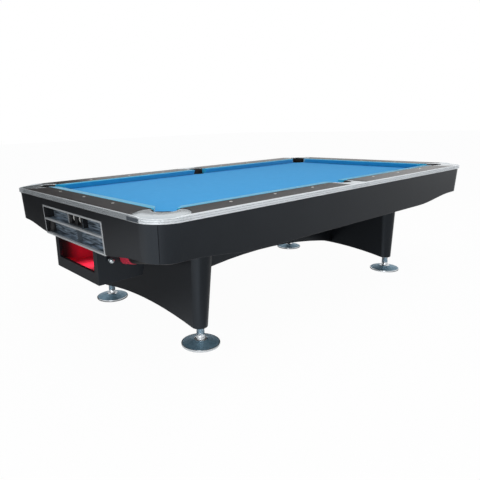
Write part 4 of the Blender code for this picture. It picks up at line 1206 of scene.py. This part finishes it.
def make_sights():
    """Round inlays along the rails by a node tree: one chamfered disc on each of a set of points."""
    tree = bpy.data.node_groups.new("rail_sights", "GeometryNodeTree")
    tree.interface.new_socket("Geometry", in_out="INPUT", socket_type="NodeSocketGeometry")
    wanted = {
        "Radius": ("NodeSocketFloat", SIGHT_RADIUS),
        "Height": ("NodeSocketFloat", SIGHT_HEIGHT),
        "Chamfer": ("NodeSocketFloat", SIGHT_CHAMFER),
        "Finish": ("NodeSocketMaterial", PEARL),
    }
    sockets = {}
    for name, (kind, value) in wanted.items():
        sockets[name] = tree.interface.new_socket(name, in_out="INPUT", socket_type=kind)
    tree.interface.new_socket("Geometry", in_out="OUTPUT", socket_type="NodeSocketGeometry")
    given = add(tree, "NodeGroupInput").outputs
    disc = add(tree, "GeometryNodeMeshCircle", {"Vertices": 32, "Radius": given["Radius"]}, fill_type="NGON")
    rise = {"Mesh": disc.outputs["Mesh"], "Offset Scale": given["Height"]}
    raised = add(tree, "GeometryNodeExtrudeMesh", rise).outputs
    taper = {"Geometry": raised["Mesh"], "Selection": raised["Top"], "Scale": given["Chamfer"]}
    inlay = add(tree, "GeometryNodeScaleElements", taper)
    places = {"Points": given["Geometry"], "Instance": inlay.outputs["Geometry"]}
    spots = add(tree, "GeometryNodeInstanceOnPoints", places)
    real = add(tree, "GeometryNodeRealizeInstances", {"Geometry": spots.outputs["Instances"]})
    coat = {"Geometry": real.outputs["Geometry"], "Material": given["Finish"]}
    painted = add(tree, "GeometryNodeSetMaterial", coat)
    add(tree, "NodeGroupOutput", {"Geometry": painted.outputs["Geometry"]})
    mesh = bpy.data.meshes.new("rail_sights")
    mesh.from_pydata(sight_points(), [], [])
    thing = plain_object("rail_sights", mesh)
    modifier = thing.modifiers.new("inlay", "NODES")
    modifier.node_group = tree
    for name, (kind, value) in wanted.items():
        modifier[sockets[name].identifier] = value
    settle(thing)
    dressed(thing, PEARL, "white_plastic", BODY)


def is_wall(face):
    return abs(face.normal.y) >= WALL_SLANT


def on_fin(face):
    return is_wall(face) and abs(face.center.y) < FIN_REACH


def beside_counter(face):
    return is_wall(face) and face.normal.y < 0 and FIN_REACH <= face.center.y < PARTITION_REACH


def make_tray():
    """The score tray: its cross walls black as painted shade, its fin in a darker painted shade, and the wall
    beside the counter lighter as a painted highlight.
    """
    mesh = mesh_of("score_tray_insert", merged_copy("score_tray"), 30.0)
    mesh.materials.append(TRAY_METAL)
    # Painted shade: the walls across the tray are black
    refinished(mesh, BLACK_ABS, is_wall)
    # Painted shade on the middle fin
    refinished(mesh, GROOVE_PAINTED_SHADE, on_fin)
    # Painted highlight: the partition's face towards the counter is given the lighter bezel metal
    refinished(mesh, BEZEL_METAL, beside_counter)
    dressed(plain_object("score_tray_insert", mesh), TRAY_METAL, "satin_aluminium", BODY, "score_tray")


# CAD nodes that show as they are
def paint(material, *nodes):
    for node in nodes:
        for slot in NODES[node].material_slots:
            slot.material = material


make_trims()
make_corner_castings()
make_side_castings()
make_cushions()
make_bed_cloth()
make_woodwork()
make_bezel()
make_feet()
make_liners()
make_gutters()
make_counter()
make_box_knob()
make_sights()
make_tray()
paint(SLATE, "foot_slate", "middle_slate", "head_slate")
paint(TIMBER, "slate_frame")
paint(BLACK_ABS, "counter_housing")
paint(CHROME, "drum_axle")
paint(RED_TRAY, "ball_box_lining")

# The levelling feet run 25 mm down from rest, so the floor lies just under their lowest place.
FLOOR_LEVEL = -0.0258
FLOOR_REACH = 40.0
FLOOR_WHITE = 0.97
SKY_COLOUR = "#F4F7FB"
SKY_STRENGTH = 0.42
PAPER = "#F2F2F2"
WHITE = "#FFFFFF"

# Cards that the laminate and the metals reflect, as (outline, direction of the grade, where along it the card
# is white, where it is darkest, and how dark). One stands behind the table and four lie on the floor; the one
# under the table is painted shade, the table's shadow on the floor as the legs reflect it.
BACK_Y = 4.0
BACK_EDGE = ((-6, 0.3), (-0.3, 0.9), (0.6, 1.22), (1.8, 1.42), (13, 1.42), (13, 2.05), (-6, 2.05))
CARD_LEVEL = FLOOR_LEVEL + 0.003
FOOT_EDGE = ((-2.25, -1.0), (-2.25, 9), (-0.9, 9), (-0.9, -1.0))
END_EDGE = ((-20, 3.4), (-20, 38), (-2.25, 38), (-2.25, -0.3))
TABLE_SHADOW_EDGE = ((-0.9, -0.6), (-0.9, 1.2), (1.5, 1.2), (1.5, -0.6))
NEAR_EDGE = ((-1.1, -0.6), (-5.5, -3.6), (9, -6.0), (9, -0.6))
CARDS = {
    "back_card": ([(x, BACK_Y, z) for x, z in BACK_EDGE], (1, 0, 0), 12.0, 5.0, 0.97),
    "foot_card": ([(x, y, CARD_LEVEL) for x, y in FOOT_EDGE], (0, 1, 0), -1.0, 0.4, 0.82),
    "end_card": ([(x, y, CARD_LEVEL) for x, y in END_EDGE], (0.2, 0.98, 0), -0.7, 2.2, 0.97),
    # Painted shade: the table's shadow on the floor, seen only in reflections
    "table_shadow_card": ([(x, y, CARD_LEVEL) for x, y in TABLE_SHADOW_EDGE], (0, 1, 0), -0.6, -0.3, 0.85),
    "near_card": ([(x, y, CARD_LEVEL) for x, y in NEAR_EDGE], (0.569, -0.822, 0), -0.15, 0.20, 0.62),
}

# Lamps as (place, target, side in metres, watts, colour, spread in degrees)
LAMPS = {
    "overhead_softbox": ((-0.6, -1.2, 4.6), (0, 0, 0.6), 4.0, 105.0, "#FFFDFA", 180.0),
    "box_light": ((-1.33, 0.05, 0.565), (-1.335, 0.06, 0.42), 0.05, 0.085, WHITE, 85.0),
    "front_fill": ((-4.4, -3.2, 1.7), (-1.0, 0.0, 0.5), 2.0, 45.0, WHITE, 180.0),
}

# Camera of the photograph: yaw to the right of +Y, pitch down, and roll
CAMERA_PLACE = (-2.4675, -2.3332, 1.195)
CAMERA_TURN_DEG = (38.76, 14.14, -1.83)
LENS_MM = 34.545
SENSOR_MM = 36.0
LENS_SHIFT = 0.0931


# Floor, light and camera
def studio_white(tree, plain, share):
    """Mixes plain light with the white that camera, mirror and glass rays see."""
    path = add(tree, "ShaderNodeLightPath").outputs
    white = add(tree, "ShaderNodeEmission", {"Color": linear(WHITE), "Strength": 1.0})
    rays = {0: path["Is Glossy Ray"], 1: path["Is Transmission Ray"]}
    bent = add(tree, "ShaderNodeMath", rays, operation="MAXIMUM")
    seen = add(tree, "ShaderNodeMath", {0: bent.outputs[0], 1: path["Is Camera Ray"]}, operation="MAXIMUM")
    part = add(tree, "ShaderNodeMath", {0: seen.outputs[0], 1: share}, operation="MULTIPLY")
    return add(tree, "ShaderNodeMixShader", {0: part.outputs[0], 1: plain, 2: white.outputs[0]}).outputs[0]


def bare_material(name):
    """A material with an empty tree."""
    material = bpy.data.materials.new(name)
    material.use_nodes = True
    material.node_tree.nodes.clear()
    return material


def make_world():
    world = bpy.data.worlds.new("white_studio")
    bpy.context.scene.world = world
    world.use_nodes = True
    tree = world.node_tree
    tree.nodes.clear()
    sky = add(tree, "ShaderNodeBackground", {"Color": linear(SKY_COLOUR), "Strength": SKY_STRENGTH})
    add(tree, "ShaderNodeOutputWorld", {"Surface": studio_white(tree, sky.outputs[0], 1.0)})


def make_floor():
    mesh = bpy.data.meshes.new("studio_floor")
    outline = ((-1, -1), (1, -1), (1, 1), (-1, 1))
    corners = [(x * FLOOR_REACH, y * FLOOR_REACH, FLOOR_LEVEL) for x, y in outline]
    mesh.from_pydata(corners, [], [range(len(corners))])
    floor = plain_object("studio_floor", mesh)
    material = bare_material("white_studio_paper")
    tree = material.node_tree
    paper = add(tree, "ShaderNodeBsdfDiffuse", {"Color": linear(PAPER)})
    add(tree, "ShaderNodeOutputMaterial", {"Surface": studio_white(tree, paper.outputs[0], FLOOR_WHITE)})
    mesh.materials.append(material)


def add_flag(name, corners, towards, clear_edge, dense_edge, density):
    """A studio card that shows only in reflections, graded from white at one edge to dark at the other."""
    mesh = bpy.data.meshes.new(name)
    mesh.from_pydata(corners, [], [range(len(corners))])
    flag = plain_object(name, mesh)
    material = bare_material(f"graded_card_{name}")
    tree = material.node_tree
    spot = add(tree, "ShaderNodeTexCoord").outputs["Object"]
    along = add(tree, "ShaderNodeVectorMath", {0: spot, 1: towards}, operation="DOT_PRODUCT").outputs["Value"]
    grade = {"Value": along, "From Min": clear_edge, "From Max": dense_edge}
    grade.update({"To Min": 1.0, "To Max": 1 - density})
    shade = add(tree, "ShaderNodeMapRange", grade, interpolation_type="SMOOTHSTEP").outputs[0]
    glow = add(tree, "ShaderNodeEmission", {"Color": linear(WHITE), "Strength": shade})
    add(tree, "ShaderNodeOutputMaterial", {"Surface": glow.outputs[0]})
    mesh.materials.append(material)
    flag.visible_camera = False
    flag.visible_diffuse = False
    flag.visible_shadow = False


def add_lamp(name, location, target, side, power, colour, spread_deg):
    lamp = bpy.data.lights.new(name, "AREA")
    lamp.shape = "RECTANGLE"
    lamp.size = side
    lamp.size_y = side
    lamp.energy = power
    lamp.spread = math.radians(spread_deg)
    lamp.color = linear(colour)[:3]
    thing = plain_object(name, lamp)
    thing.location = location
    thing.rotation_euler = (Vector(target) - Vector(location)).to_track_quat("-Z", "Y").to_euler()
    thing.visible_camera = False


def make_camera():
    yaw, pitch, roll = (math.radians(angle) for angle in CAMERA_TURN_DEG)
    ahead = Vector((math.sin(yaw) * math.cos(pitch), math.cos(yaw) * math.cos(pitch), -math.sin(pitch)))
    right = Vector((math.cos(yaw), -math.sin(yaw), 0))
    up = right.cross(ahead)
    tilted_right = right * math.cos(roll) + up * math.sin(roll)
    tilted_up = up * math.cos(roll) - right * math.sin(roll)
    lens = bpy.data.cameras.new("photo_camera")
    lens.sensor_width = SENSOR_MM
    lens.lens = LENS_MM
    lens.shift_x = LENS_SHIFT
    lens.clip_end = 5 * FLOOR_REACH
    camera = plain_object("photo_camera", lens)
    turn = Matrix((tilted_right, tilted_up, -ahead)).transposed().to_4x4()
    camera.matrix_world = Matrix.Translation(CAMERA_PLACE) @ turn
    bpy.context.scene.camera = camera


make_world()
make_floor()
for name, card in CARDS.items():
    add_flag(name, *card)
for name, lamp in LAMPS.items():
    add_lamp(name, *lamp)
make_camera()
bpy.context.scene.view_settings.view_transform = "Standard"
